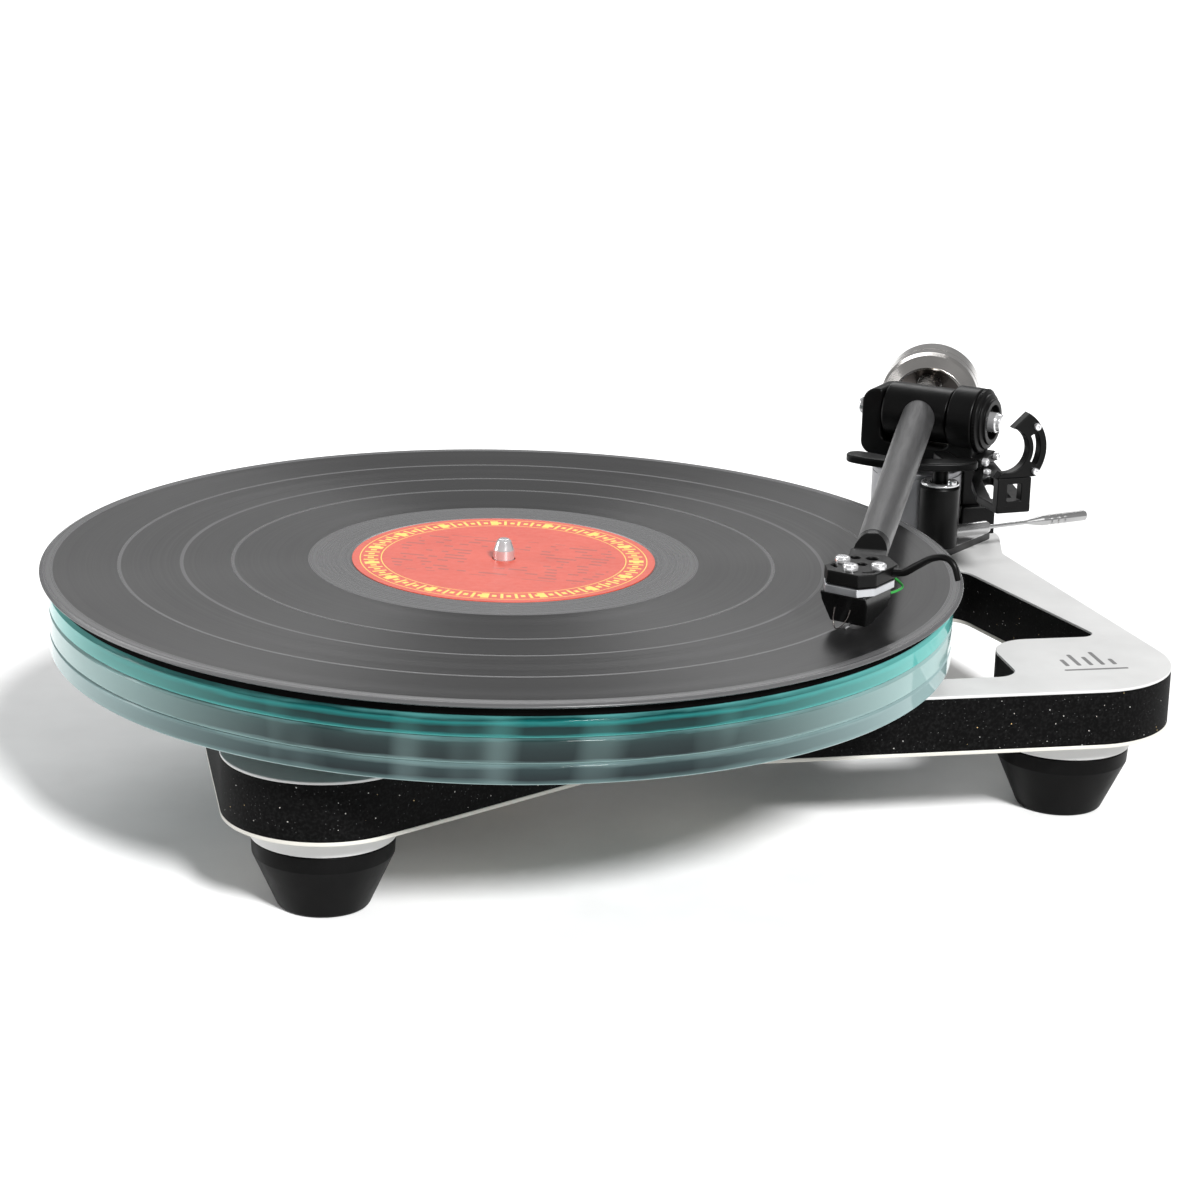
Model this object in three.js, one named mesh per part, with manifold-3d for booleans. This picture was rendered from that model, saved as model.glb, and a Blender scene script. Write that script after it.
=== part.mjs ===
// A belt-driven record player: a skeletal laminated plinth on three feet, a platter of three glass
// layers, and a straight tonearm with its lift, rest, dial and counterweight.
//
// Millimetres. X is to the right, Y to the back, Z up. The model is built round the spindle, with the
// table at Z 0, and is moved at the end so that its origin is the middle of its box, at the bottom.

import * as THREE from 'three';
import { mergeVertices } from 'three/addons/utils/BufferGeometryUtils.js';
import Module from 'manifold-3d';

const wasm = await Module();
wasm.setup();

const { PI, cos, sin, tan, sqrt } = Math;
const radians = THREE.MathUtils.degToRad;

// ---------------------------------------------------------------- driving dimensions

const GAP = 0.3;          // between touching pieces
const FILM_GAP = 0.1;     // between glued or stacked layers

// heights above the table
const FOOT_HEIGHT = 22.7;
const BOSS_HEIGHT = 7;
const CORE_THICKNESS = 18;
const BOTTOM_LAMINATE = 1.4;
const TOP_LAMINATE = 1;
const BRACE_THICKNESS = 3;
const PLINTH_BOTTOM = FOOT_HEIGHT + GAP + BOSS_HEIGHT;
const CORE_BOTTOM = PLINTH_BOTTOM + BOTTOM_LAMINATE;
const CORE_TOP = CORE_BOTTOM + CORE_THICKNESS;
const PLINTH_TOP = CORE_TOP + TOP_LAMINATE;
const BRACE_TOP = PLINTH_TOP + BRACE_THICKNESS;

// feet and bosses
const FOOT_RADIUS = 22.3;
const FOOT_BASE_RADIUS = 12.9;
const FOOT_BAND = 5.3;
const BOSS_RADIUS = 22.8;
const FOOT_PLACES = { front_left: [-68.5, -79], front_right: [189.5, -25], rear: [52, 135.5] };

// platter and record
const GLASS_RADIUS = 148;
const GLASS_BOTTOM = 60.2;
const GLASS_LAYERS = { bottom: 6.3, middle: 7.9, top: 6.5 };
const MAT_RADIUS = 147.5;
const MAT_THICKNESS = 2.9;
const RECORD_RADIUS = 150.8;
const RECORD_TOP = 85.4;
const RECORD_THICKNESS = 1.6;
const RECORD_RIM = 146.4;
const LABEL_RADIUS = 50;
const SPINDLE_RADIUS = 3.5;
const SPINDLE_TOP = RECORD_TOP + 6.7;

// drive
const SUB_PLATTER_RADIUS = 54;
const SUB_PLATTER_BOTTOM = 54.6;
const SUB_PLATTER_TOP = 59.9;
const PULLEY_RADIUS = 8;
const MOTOR_PLACE = [-68, -12];
const MOTOR_RADIUS = 22;
const BELT_BOTTOM = 55.7;
const BELT_HEIGHT = 2.8;
const BELT_THICKNESS = 0.8;

// main bearing
const HOUSING_RADIUS = 11;
const HOUSING_FLANGE = 16;
const HOUSING_BOTTOM = 16;

// tonearm
const PIVOT_DISTANCE = 222;
const PIVOT_BEARING = 35;         // degrees from X to the line from the spindle to the arm pivot
const ARM_DIRECTION = -111.5;     // degrees from X to the arm tube, seen from above
const PARK_DIRECTION = -81.9;
const BEARING_SKEW = 71.5;        // from the tube to the horizontal bearing
const HEAD_AXIS = RECORD_TOP + 18.5;   // height of the tube's middle at the headshell
const BEARING_AXIS = HEAD_AXIS - 2.6;  // and at the arm bearing
const STYLUS_REACH = 237;
const STYLUS_SIDE = -4.3;
const HEAD_OFFSET = -23.7;        // degrees from the tube to the cartridge
const TUBE_RADIUS = 6.3;
const TUBE_END_RADIUS = 5.4;
const TUBE_REAR = -18;
const TUBE_FRONT = 204;
const TAPER_START = 40;
const TUBE_SLOPE = Math.atan((HEAD_AXIS - BEARING_AXIS) / TUBE_FRONT);

// arm mounting
const ARM_BASE_TOP = 57.4;
const REST_BLOCK_TOP = 64.4;
const PILLAR_RADIUS = 17;
const PILLAR_TOP = 81;
const YOKE_BOTTOM = 84.2;
const YOKE_TOP = 110;
const YOKE_DEPTH = 16;
const YOKE_LEFT = -20.7;
const YOKE_GAP_LEFT = -12.6;
const YOKE_GAP_RIGHT = 15;
const YOKE_RIGHT = 25;
const YOKE_FOOT_RIGHT = 28.8;
const DIAL_RADIUS = 12;

// arm lift
const LIFT_PLACE = [182.9, 101.8];
const LIFT_RADIUS = 7.5;
const LIFT_BOTTOM = 56;
const LIFT_TOP = 79.4;
const LIFT_BAR_BOTTOM = 88.8;
const LIFT_BAR_THICKNESS = 3;
const LIFT_BAR_RADII = [34.5, 43.5];
const LIFT_BAR_ANGLES = [-142, -81];
const LEVER_HEIGHT = 60.6;
const LEVER_DIRECTION = 16.2;

// arm rest
const CLIP_REACH = 71;
const CLIP_DEPTH = 4;
const CLIP_HEIGHT = HEAD_AXIS - 0.3;
const CLIP_INNER = 8.2;
const CLIP_OUTER = 15.4;
const CLIP_BOTTOM = CLIP_HEIGHT - 10.1;
const BRACKET_BOTTOM = 80.4;
const BRACKET_TOP = 83.4;

// counterweight
const WEIGHT_RADIUS = 19.5;
const WEIGHT_DROP = 7.3;
const WEIGHT_FRONT = -46;
const WEIGHT_LENGTH = 26;
const WEIGHT_SHAFT_RADIUS = 4.5;
const WEIGHT_SHAFT_END = -80;

// ---------------------------------------------------------------- materials

function finish(color, roughness, metalness) {
  return new THREE.MeshStandardMaterial({ color, roughness, metalness });
}

const looks = {
  laminate: finish(0xe6e5e2, 0.35, 0),
  speckledCore: finish(0x17171a, 0.7, 0),
  brace: finish(0xc9c9c7, 0.3, 0),
  rubber: finish(0x111112, 0.8, 0),
  glassTop: finish(0x4fa39f, 0.05, 0),
  glassLower: finish(0x6f9494, 0.05, 0),
  felt: finish(0x0a0a0b, 0.95, 0),
  vinyl: finish(0x1a1a1c, 0.3, 0),
  labelPaper: finish(0xdb4a2e, 0.5, 0),
  chrome: finish(0xd8d8d8, 0.12, 1),
  steel: finish(0xb8b6b2, 0.25, 1),
  pillarMetal: finish(0x8d8f92, 0.4, 1),
  aluminium: finish(0xb5b7ba, 0.4, 1),
  brass: finish(0xb08d4a, 0.35, 1),
  blackPlastic: finish(0x121214, 0.5, 0),
  armBlack: finish(0x2a2a2b, 0.45, 0.2),
  motorCan: finish(0x2c2d30, 0.5, 0.6),
};

// ---------------------------------------------------------------- solids

const model = new THREE.Group();

function place(parent, name, geometry, look) {
  const mesh = new THREE.Mesh(geometry, look);
  mesh.name = name;
  parent.add(mesh);
  return mesh;
}

function frameAt(parent, x, y, degrees) {
  const group = new THREE.Group();
  group.position.set(x, y, 0);
  group.rotation.z = radians(degrees);
  parent.add(group);
  return group;
}

function toSolid(geometry) {
  const bare = geometry.clone();
  bare.deleteAttribute('normal');
  bare.deleteAttribute('uv');
  const merged = mergeVertices(bare, 1e-4);
  const corners = [];
  for (let i = 0; i < merged.index.count; i += 3) {
    const [a, b, c] = [0, 1, 2].map((k) => merged.index.getX(i + k));
    if (a !== b && b !== c && c !== a) {
      corners.push(a, b, c);
    }
  }
  const vertProperties = merged.attributes.position.array;
  const triVerts = new Uint32Array(corners);
  return new wasm.Manifold(new wasm.Mesh({ numProp: 3, vertProperties, triVerts }));
}

function toGeometry(solid) {
  const mesh = solid.getMesh();
  const geometry = new THREE.BufferGeometry();
  geometry.setAttribute('position', new THREE.BufferAttribute(mesh.vertProperties, 3));
  geometry.setIndex(new THREE.BufferAttribute(mesh.triVerts, 1));
  return geometry;
}

function joined(...geometries) {
  const [first, ...others] = geometries.map(toSolid);
  return toGeometry(others.reduce((whole, piece) => whole.add(piece), first));
}

function cut(geometry, ...tools) {
  const solids = tools.map(toSolid);
  return toGeometry(solids.reduce((whole, tool) => whole.subtract(tool), toSolid(geometry)));
}

function common(first, second) {
  return toGeometry(toSolid(first).intersect(toSolid(second)));
}

// a closed loop of straight sides whose corners [x, y, radius] are rounded by arcs
function roundedLoop(Kind, corners) {
  const loop = new Kind();
  corners.forEach(([x, y, radius], i) => {
    const corner = new THREE.Vector2(x, y);
    const [px, py] = corners.at(i - 1);
    const [nx, ny] = corners[(i + 1) % corners.length];
    const back = new THREE.Vector2(px, py).sub(corner).normalize();
    const ahead = new THREE.Vector2(nx, ny).sub(corner).normalize();
    const half = Math.acos(back.dot(ahead)) / 2;
    const centre = back.clone().add(ahead).normalize().multiplyScalar(radius / sin(half)).add(corner);
    const start = back.clone().multiplyScalar(radius / tan(half)).add(corner).sub(centre);
    const end = ahead.clone().multiplyScalar(radius / tan(half)).add(corner).sub(centre);
    const turnsRight = back.cross(ahead) > 0;
    loop.absarc(centre.x, centre.y, radius, start.angle(), end.angle(), turnsRight);
  });
  loop.closePath();
  return loop;
}

function roundHole(x, y, radius, segments = 24) {
  const outside = radius / cos(PI / segments);
  const points = Array.from({ length: segments }, (_, i) => {
    const angle = (2 * PI * i) / segments;
    return new THREE.Vector2(x + outside * cos(angle), y + outside * sin(angle));
  });
  return new THREE.Path(points);
}

// a flat plate of the shape, from the height bottom to the height top
function plate(shape, bottom, top, curveSegments = 4) {
  const depth = top - bottom;
  return new THREE.ExtrudeGeometry(shape, { depth, bevelEnabled: false, curveSegments })
    .translate(0, 0, bottom);
}

// a slab whose outline is drawn in X and Z, as deep as given in Y, centred on Y 0
function uprightSlab(shape, depth, curveSegments = 3) {
  return new THREE.ExtrudeGeometry(shape, { depth, bevelEnabled: false, curveSegments })
    .rotateX(PI / 2)
    .translate(0, depth / 2, 0);
}

// a solid turned about Z; its profile [radius, height] runs upwards along the outside
function turned(profile, segments = 48) {
  const points = profile.map(([radius, height]) => new THREE.Vector2(radius, height));
  return new THREE.LatheGeometry(points, segments).rotateX(PI / 2);
}

function disc(radius, bottom, top, segments = 48, chamfer = 0) {
  const profile = [[0, bottom], [radius - chamfer, bottom]];
  if (chamfer > 0) {
    profile.push([radius, bottom + chamfer], [radius, top - chamfer]);
  }
  profile.push([radius - chamfer, top], [0, top]);
  return turned(profile, segments);
}

function ring(inner, outer, bottom, top, segments = 48) {
  return turned([[inner, bottom], [outer, bottom], [outer, top], [inner, top], [inner, bottom]], segments);
}

function hexagonNut(bore, cornerRadius, bottom, top) {
  const corners = Array.from({ length: 6 }, (_, i) => {
    const angle = (PI * i) / 3;
    return new THREE.Vector2(cornerRadius * cos(angle), cornerRadius * sin(angle));
  });
  const shape = new THREE.Shape(corners);
  shape.holes.push(roundHole(0, 0, bore));
  return plate(shape, bottom, top);
}

// turns a solid standing on Z so that it lies along X
function alongX(geometry) {
  return geometry.rotateY(PI / 2);
}

function block(x0, x1, y0, y1, z0, z1) {
  return new THREE.BoxGeometry(x1 - x0, y1 - y0, z1 - z0)
    .translate((x0 + x1) / 2, (y0 + y1) / 2, (z0 + z1) / 2);
}

// a round wire along a smooth curve through the points
function wire(points, radius, steps, sides = 8) {
  const path = new THREE.CatmullRomCurve3(points.map((p) => new THREE.Vector3(...p)));
  const section = new THREE.Shape();
  for (let i = 0; i < sides; i += 1) {
    const angle = (2 * PI * i) / sides;
    const method = i === 0 ? 'moveTo' : 'lineTo';
    section[method](radius * cos(angle), radius * sin(angle));
  }
  section.closePath();
  return new THREE.ExtrudeGeometry(section, { extrudePath: path, steps, bevelEnabled: false });
}

// ---------------------------------------------------------------- plinth

const pivot = [PIVOT_DISTANCE * cos(radians(PIVOT_BEARING)), PIVOT_DISTANCE * sin(radians(PIVOT_BEARING))];

const plinthCorners = [
  [-100, -133.6, 31.5],
  [34, -56.2, 30],
  [229.7, -56.2, 35],
  [211.2, 107, 8],
  [218, 131, 20],
  [218, 167, 32],
  [36.6, 167, 31.5],
  [-100, -7.9, 45],
];

const frontOpening = [
  [85, -38.2, 12],
  [168.2, -38.2, 8],
  [168.6, 1.2, 15],
  [210.6, 1.2, 5],
  [186.4, 97.5, 12],
  [72.8, 18.1, 12],
];

const rearOpening = [
  [45, 64.5, 6],
  [148, 136.6, 8],
  [88, 136.6, 8],
];

function plinthShape(bearingHole, motorHole, armHole) {
  const shape = roundedLoop(THREE.Shape, plinthCorners);
  shape.holes.push(roundedLoop(THREE.Path, frontOpening));
  shape.holes.push(roundedLoop(THREE.Path, rearOpening));
  shape.holes.push(roundHole(0, 0, bearingHole));
  shape.holes.push(roundHole(...MOTOR_PLACE, motorHole));
  shape.holes.push(roundHole(...pivot, armHole));
  return shape;
}

function braceShape(hubHole) {
  const shape = roundedLoop(THREE.Shape, [
    [-8.7, -32.9, 20],
    [181.7, 97.9, 40],
    [214, 128, 5],
    [203, 158, 8],
    [147, 130, 25],
    [-33.9, 3.1, 20],
  ]);
  shape.holes.push(roundHole(0, 0, hubHole));
  shape.holes.push(roundHole(...pivot, 8.6));
  return shape;
}

function buildPlinth() {
  const sandwich = plinthShape(11.5, 6, 8.6);
  place(model, 'plinth_core', plate(sandwich, CORE_BOTTOM, CORE_TOP), looks.speckledCore);
  place(model, 'top_laminate', plate(sandwich, CORE_TOP + FILM_GAP, PLINTH_TOP), looks.laminate);
  place(model, 'bottom_laminate', plate(sandwich, PLINTH_BOTTOM, CORE_BOTTOM - FILM_GAP), looks.laminate);
  const topBrace = plate(braceShape(HOUSING_FLANGE + GAP), PLINTH_TOP + FILM_GAP, BRACE_TOP);
  place(model, 'top_brace', topBrace, looks.brace);
  const lowerBrace = plate(braceShape(11.5), PLINTH_BOTTOM - BRACE_THICKNESS, PLINTH_BOTTOM - FILM_GAP);
  place(model, 'bottom_brace', lowerBrace, looks.brace);
}

function buildFeet() {
  const footProfile = [
    [0, 0],
    [FOOT_BASE_RADIUS - 0.6, 0],
    [FOOT_BASE_RADIUS + 0.9, 0.7],
    [FOOT_BASE_RADIUS + 1.8, 2.4],
    [FOOT_RADIUS - 0.3, FOOT_HEIGHT - FOOT_BAND],
    [FOOT_RADIUS, FOOT_HEIGHT - FOOT_BAND + 0.5],
    [FOOT_RADIUS, FOOT_HEIGHT],
    [0, FOOT_HEIGHT],
  ];
  for (const [name, [x, y]] of Object.entries(FOOT_PLACES)) {
    const corner = frameAt(model, x, y, 0);
    place(corner, `foot_${name}`, turned(footProfile, 32), looks.rubber);
    const boss = disc(BOSS_RADIUS, FOOT_HEIGHT + GAP, PLINTH_BOTTOM - FILM_GAP, 32);
    place(corner, `foot_boss_${name}`, boss, looks.laminate);
  }
}

// ---------------------------------------------------------------- bearing and drive

function buildMainBearing() {
  const boreRadius = 5.5;
  const floor = HOUSING_BOTTOM + 3;
  const housing = turned([
    [0, HOUSING_BOTTOM],
    [HOUSING_RADIUS, HOUSING_BOTTOM],
    [HOUSING_RADIUS, PLINTH_TOP + GAP],
    [HOUSING_FLANGE, PLINTH_TOP + GAP],
    [HOUSING_FLANGE, SUB_PLATTER_BOTTOM - GAP],
    [boreRadius, SUB_PLATTER_BOTTOM - GAP],
    [boreRadius, floor],
    [0, floor],
  ]);
  place(model, 'bearing_housing', housing, looks.brass);
  const ballRadius = 2.5;
  const ball = new THREE.SphereGeometry(ballRadius, 12, 8)
    .translate(0, 0, floor + GAP + ballRadius);
  place(model, 'thrust_ball', ball, looks.chrome);
  const nutTop = PLINTH_BOTTOM - BRACE_THICKNESS - GAP;
  place(model, 'bearing_nut', hexagonNut(HOUSING_RADIUS + GAP, 17, nutTop - 7, nutTop), looks.steel);
}

function buildDrive() {
  const motor = frameAt(model, ...MOTOR_PLACE, 0);
  const mountTop = PLINTH_BOTTOM - GAP;
  const canTop = mountTop - 1.6;
  place(motor, 'motor_mount', ring(4, 28, canTop + GAP, mountTop, 36), looks.aluminium);
  const canWithShaft = turned([
    [0, 10],
    [MOTOR_RADIUS - 1.5, 10],
    [MOTOR_RADIUS, 11.5],
    [MOTOR_RADIUS, canTop],
    [1.5, canTop],
    [1.5, SUB_PLATTER_BOTTOM - GAP],
    [0, SUB_PLATTER_BOTTOM - GAP],
  ], 36);
  place(motor, 'motor_body', canWithShaft, looks.motorCan);
  const groove = PULLEY_RADIUS - BELT_THICKNESS;
  const pulley = turned([
    [0, SUB_PLATTER_BOTTOM],
    [PULLEY_RADIUS + 0.6, SUB_PLATTER_BOTTOM],
    [PULLEY_RADIUS + 0.6, BELT_BOTTOM - GAP],
    [groove, BELT_BOTTOM - GAP],
    [groove, BELT_BOTTOM + BELT_HEIGHT + GAP],
    [PULLEY_RADIUS + 0.6, BELT_BOTTOM + BELT_HEIGHT + GAP],
    [PULLEY_RADIUS + 0.6, SUB_PLATTER_TOP - GAP],
    [0, SUB_PLATTER_TOP - GAP],
  ], 32);
  place(motor, 'motor_pulley', pulley, looks.aluminium);
  place(model, 'drive_belt', plate(beltShape(), BELT_BOTTOM, BELT_BOTTOM + BELT_HEIGHT, 12), looks.rubber);
}

// the belt's loop: round the sub-platter, along a tangent, round the pulley and back
function beltLoop(Kind, bigRadius, smallRadius) {
  const [x, y] = MOTOR_PLACE;
  const distance = sqrt(x * x + y * y);
  const toMotor = Math.atan2(y, x);
  const wrap = Math.acos((bigRadius - smallRadius) / distance);
  const loop = new Kind();
  loop.absarc(0, 0, bigRadius, toMotor + wrap, toMotor - wrap + 2 * PI, false);
  loop.absarc(x, y, smallRadius, toMotor - wrap, toMotor + wrap, false);
  loop.closePath();
  return loop;
}

function beltShape() {
  const big = SUB_PLATTER_RADIUS + GAP;
  const small = PULLEY_RADIUS - BELT_THICKNESS + GAP;
  const shape = beltLoop(THREE.Shape, big + BELT_THICKNESS, small + BELT_THICKNESS);
  shape.holes.push(beltLoop(THREE.Path, big, small));
  return shape;
}

function buildUndersideFittings() {
  const socketPlace = frameAt(model, 0, 96, 0);
  const socketTop = PLINTH_BOTTOM - GAP;
  const socket = turned([
    [0, socketTop - 8],
    [4.2, socketTop - 8],
    [4.2, socketTop - 12],
    [8.5, socketTop - 12],
    [8.5, socketTop - 3],
    [12, socketTop - 3],
    [12, socketTop],
    [0, socketTop],
  ], 24);
  place(socketPlace, 'power_socket', socket, looks.blackPlastic);
}

// ---------------------------------------------------------------- platter and record

function buildPlatter() {
  const shaftRadius = 5;
  const holeRadius = SPINDLE_RADIUS + GAP;
  const subPlatter = turned([
    [holeRadius, SUB_PLATTER_BOTTOM],
    [12, SUB_PLATTER_BOTTOM],
    [12, SUB_PLATTER_TOP - 2.2],
    [SUB_PLATTER_RADIUS - 8, SUB_PLATTER_TOP - 2.2],
    [SUB_PLATTER_RADIUS - 8, SUB_PLATTER_BOTTOM],
    [SUB_PLATTER_RADIUS, SUB_PLATTER_BOTTOM],
    [SUB_PLATTER_RADIUS, SUB_PLATTER_TOP],
    [holeRadius, SUB_PLATTER_TOP],
    [holeRadius, SUB_PLATTER_BOTTOM],
  ], 48);
  place(model, 'sub_platter', subPlatter, looks.aluminium);

  const ballTop = HOUSING_BOTTOM + 3 + GAP + 5;
  const spindle = turned([
    [0, ballTop + GAP],
    [shaftRadius, ballTop + GAP],
    [shaftRadius, SUB_PLATTER_BOTTOM - GAP],
    [SPINDLE_RADIUS, SUB_PLATTER_BOTTOM - GAP],
    [SPINDLE_RADIUS, SPINDLE_TOP - 3.6],
    [SPINDLE_RADIUS - 1, SPINDLE_TOP - 0.7],
    [SPINDLE_RADIUS - 1.7, SPINDLE_TOP],
    [0, SPINDLE_TOP],
  ], 32);
  place(model, 'spindle_shaft', spindle, looks.chrome);

  let bottom = GLASS_BOTTOM;
  for (const [name, thickness] of Object.entries(GLASS_LAYERS)) {
    const top = bottom + thickness - FILM_GAP;
    const upperChamfer = name === 'top' ? 1.25 : 0.7;
    const glass = turned([
      [holeRadius, bottom],
      [GLASS_RADIUS - 0.4, bottom],
      [GLASS_RADIUS, bottom + 0.4],
      [GLASS_RADIUS, top - upperChamfer],
      [GLASS_RADIUS - upperChamfer, top],
      [holeRadius, top],
      [holeRadius, bottom],
    ], 84);
    place(model, `glass_layer_${name}`, glass, name === 'top' ? looks.glassTop : looks.glassLower);
    bottom += thickness;
  }

  const recordBottom = RECORD_TOP - RECORD_THICKNESS;
  const mat = ring(holeRadius, MAT_RADIUS, recordBottom - MAT_THICKNESS, recordBottom - FILM_GAP, 84);
  place(model, 'platter_mat', mat, looks.felt);

  const labelSeat = RECORD_TOP - 0.4;
  const record = turned([
    [holeRadius, recordBottom],
    [RECORD_RADIUS - 0.9, recordBottom],
    [RECORD_RADIUS - 0.2, recordBottom + 0.3],
    [RECORD_RADIUS, recordBottom + 0.8],
    [RECORD_RADIUS - 0.5, RECORD_TOP - 0.3],
    [RECORD_RIM, RECORD_TOP],
    [LABEL_RADIUS + 0.2, RECORD_TOP],
    [LABEL_RADIUS + 0.2, labelSeat],
    [holeRadius, labelSeat],
    [holeRadius, recordBottom],
  ], 84);
  place(model, 'record_disc', record, looks.vinyl);
  const label = ring(holeRadius, LABEL_RADIUS, labelSeat + FILM_GAP, RECORD_TOP, 48);
  place(model, 'record_label', label, looks.labelPaper);
}

// ---------------------------------------------------------------- tonearm mounting, lift and rest

function capsule(x0, y0, x1, y1, radius, bottom, top) {
  const side = new THREE.Vector2(x1 - x0, y1 - y0);
  const angle = side.angle();
  const shape = new THREE.Shape();
  shape.absarc(x0, y0, radius, angle + PI / 2, angle + (3 * PI) / 2, false);
  shape.absarc(x1, y1, radius, angle - PI / 2, angle + PI / 2, false);
  shape.closePath();
  return plate(shape, bottom, top);
}

function buildArmMounting() {
  const mount = frameAt(model, ...pivot, 0);
  const baseBottom = BRACE_TOP + GAP;
  const stemBottom = 19;
  const flange = disc(17.5, baseBottom, ARM_BASE_TOP, 48);
  const sideLug = block(13, 31, -4.3, 8.7, baseBottom, ARM_BASE_TOP);
  const restBlock = block(PILLAR_RADIUS + 0.6, 31, -4.3, 8.7, ARM_BASE_TOP - 0.5, REST_BLOCK_TOP);
  const stem = disc(8, stemBottom, baseBottom + 1, 32);
  place(mount, 'arm_base', joined(flange, sideLug, restBlock, stem), looks.blackPlastic);
  const pillar = disc(PILLAR_RADIUS, ARM_BASE_TOP + GAP, PILLAR_TOP, 48, 0.6);
  place(mount, 'arm_pillar', pillar, looks.pillarMetal);
  const nutTop = PLINTH_BOTTOM - BRACE_THICKNESS - GAP;
  place(mount, 'arm_lock_nut', hexagonNut(8 + GAP, 14, nutTop - 5, nutTop), looks.steel);
  const gland = turned([
    [0, 9],
    [2.6, 9],
    [4.4, 14],
    [4.4, stemBottom - GAP],
    [0, stemBottom - GAP],
  ], 20);
  place(mount, 'signal_lead_gland', gland, looks.rubber);
  const slider = block(27.2, 29.8, -1.5, 2.5, REST_BLOCK_TOP + GAP, REST_BLOCK_TOP + 4);
  place(mount, 'bias_slider', slider, looks.chrome);
}

function buildLift() {
  const lift = frameAt(model, ...LIFT_PLACE, LEVER_DIRECTION);
  const slotHalf = 3.9;
  const leverSlot = block(-4.2, 12, -slotHalf, slotHalf, LEVER_HEIGHT - 4.4, LEVER_HEIGHT + 8.5);
  const pistonBore = disc(3.4, LEVER_HEIGHT + 12, LIFT_TOP + 1, 24);
  const housing = cut(disc(LIFT_RADIUS, LIFT_BOTTOM, LIFT_TOP, 40, 0.4), leverSlot, pistonBore);
  place(lift, 'lift_housing', housing, looks.blackPlastic);
  const capRing = turned([
    [3.8, LIFT_TOP + GAP],
    [LIFT_RADIUS - 0.3, LIFT_TOP + GAP],
    [LIFT_RADIUS - 0.3, LIFT_TOP + 0.9],
    [LIFT_RADIUS - 0.9, LIFT_TOP + 1.4],
    [3.8, LIFT_TOP + 1.4],
    [3.8, LIFT_TOP + GAP],
  ], 40);
  place(lift, 'lift_ring', capRing, looks.chrome);

  const hub = disc(3.4, -3.4, 3.4, 20).rotateX(PI / 2).translate(0, 0, LEVER_HEIGHT);
  const lever = alongX(turned([
    [0, 0],
    [2.5, 0],
    [2.5, 22.4],
    [2.1, 23.2],
    [0.8, 23.4],
    [0.8, 41],
    [2.05, 48],
    [2.05, 67.6],
    [1.6, 68.2],
    [0, 68.2],
  ], 16)).translate(0, 0, LEVER_HEIGHT);
  place(lift, 'cue_lever', joined(hub, lever), looks.chrome);

  const arm = frameAt(model, ...pivot, 0);
  place(arm, 'lift_bar', liftBar(), looks.blackPlastic);
}

// the curved bar under the arm tube, with its piston
function liftBar() {
  const [inner, outer] = LIFT_BAR_RADII;
  const [from, to] = LIFT_BAR_ANGLES.map(radians);
  const tip = (outer - inner) / 2;
  const middle = (outer + inner) / 2;
  const arc = new THREE.Shape();
  arc.absarc(0, 0, outer, from, to, false);
  arc.absarc(middle * cos(to), middle * sin(to), tip, to, to + PI, false);
  arc.absarc(0, 0, inner, to, from, true);
  arc.absarc(middle * cos(from), middle * sin(from), tip, from + PI, from + 2 * PI, false);
  arc.closePath();
  const top = LIFT_BAR_BOTTOM + LIFT_BAR_THICKNESS;
  const bar = plate(arc, LIFT_BAR_BOTTOM, top, 10);
  const [x, y] = [LIFT_PLACE[0] - pivot[0], LIFT_PLACE[1] - pivot[1]];
  const reach = (inner + 2) / Math.hypot(x, y);
  const tab = capsule(x, y, x * reach, y * reach, 3, LIFT_BAR_BOTTOM, top);
  const piston = disc(3, LEVER_HEIGHT + 13, LIFT_BAR_BOTTOM + 1, 24).translate(x, y, 0);
  return joined(bar, tab, piston);
}

function buildArmRest() {
  const rest = frameAt(model, ...pivot, PARK_DIRECTION);
  const [frontLeft, frontRight] = [-3.2, 10.2];
  const [near, far] = [CLIP_REACH - CLIP_DEPTH / 2, CLIP_REACH + CLIP_DEPTH / 2];
  const outline = roundedLoop(THREE.Shape, [
    [-5, 17.8, 1],
    [14, 17.8, 6],
    [36, 5, 8],
    [57, frontLeft, 8],
    [far, frontLeft, 1],
    [far, frontRight, 1],
    [12, 26.5, 6],
    [-5, 26.5, 2],
  ]);
  outline.holes.push(roundedLoop(THREE.Path, [[63, -0.4, 1], [63, 7.5, 1], [33, 14.6, 1], [37, 9, 1]]));
  const beams = plate(outline, BRACKET_BOTTOM, BRACKET_TOP, 2);
  const leg = block(-5, 4, 17.8, 26, REST_BLOCK_TOP + GAP, BRACKET_BOTTOM + 1);
  const postTop = CLIP_BOTTOM - GAP;
  const frame = block(near, far, frontLeft, frontRight, BRACKET_BOTTOM + 1, postTop);
  const window = block(near - 3, far + 3, frontLeft + 3.9, frontRight - 3.9, BRACKET_TOP + 1.4, postTop - 2.2);
  place(rest, 'rest_bracket', joined(beams, leg, cut(frame, window)), looks.blackPlastic);
  place(rest, 'rest_clip', clip(), looks.blackPlastic);
  for (const [name, side, up] of [['upper', 10.8, 8.4], ['lower', 11.1, -8.1]]) {
    const screw = alongX(disc(1.3, 0, 1.2, 16, 0.3))
      .translate(far + GAP, side, CLIP_HEIGHT + up);
    place(rest, `clip_screw_${name}`, screw, looks.chrome);
  }
}

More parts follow.
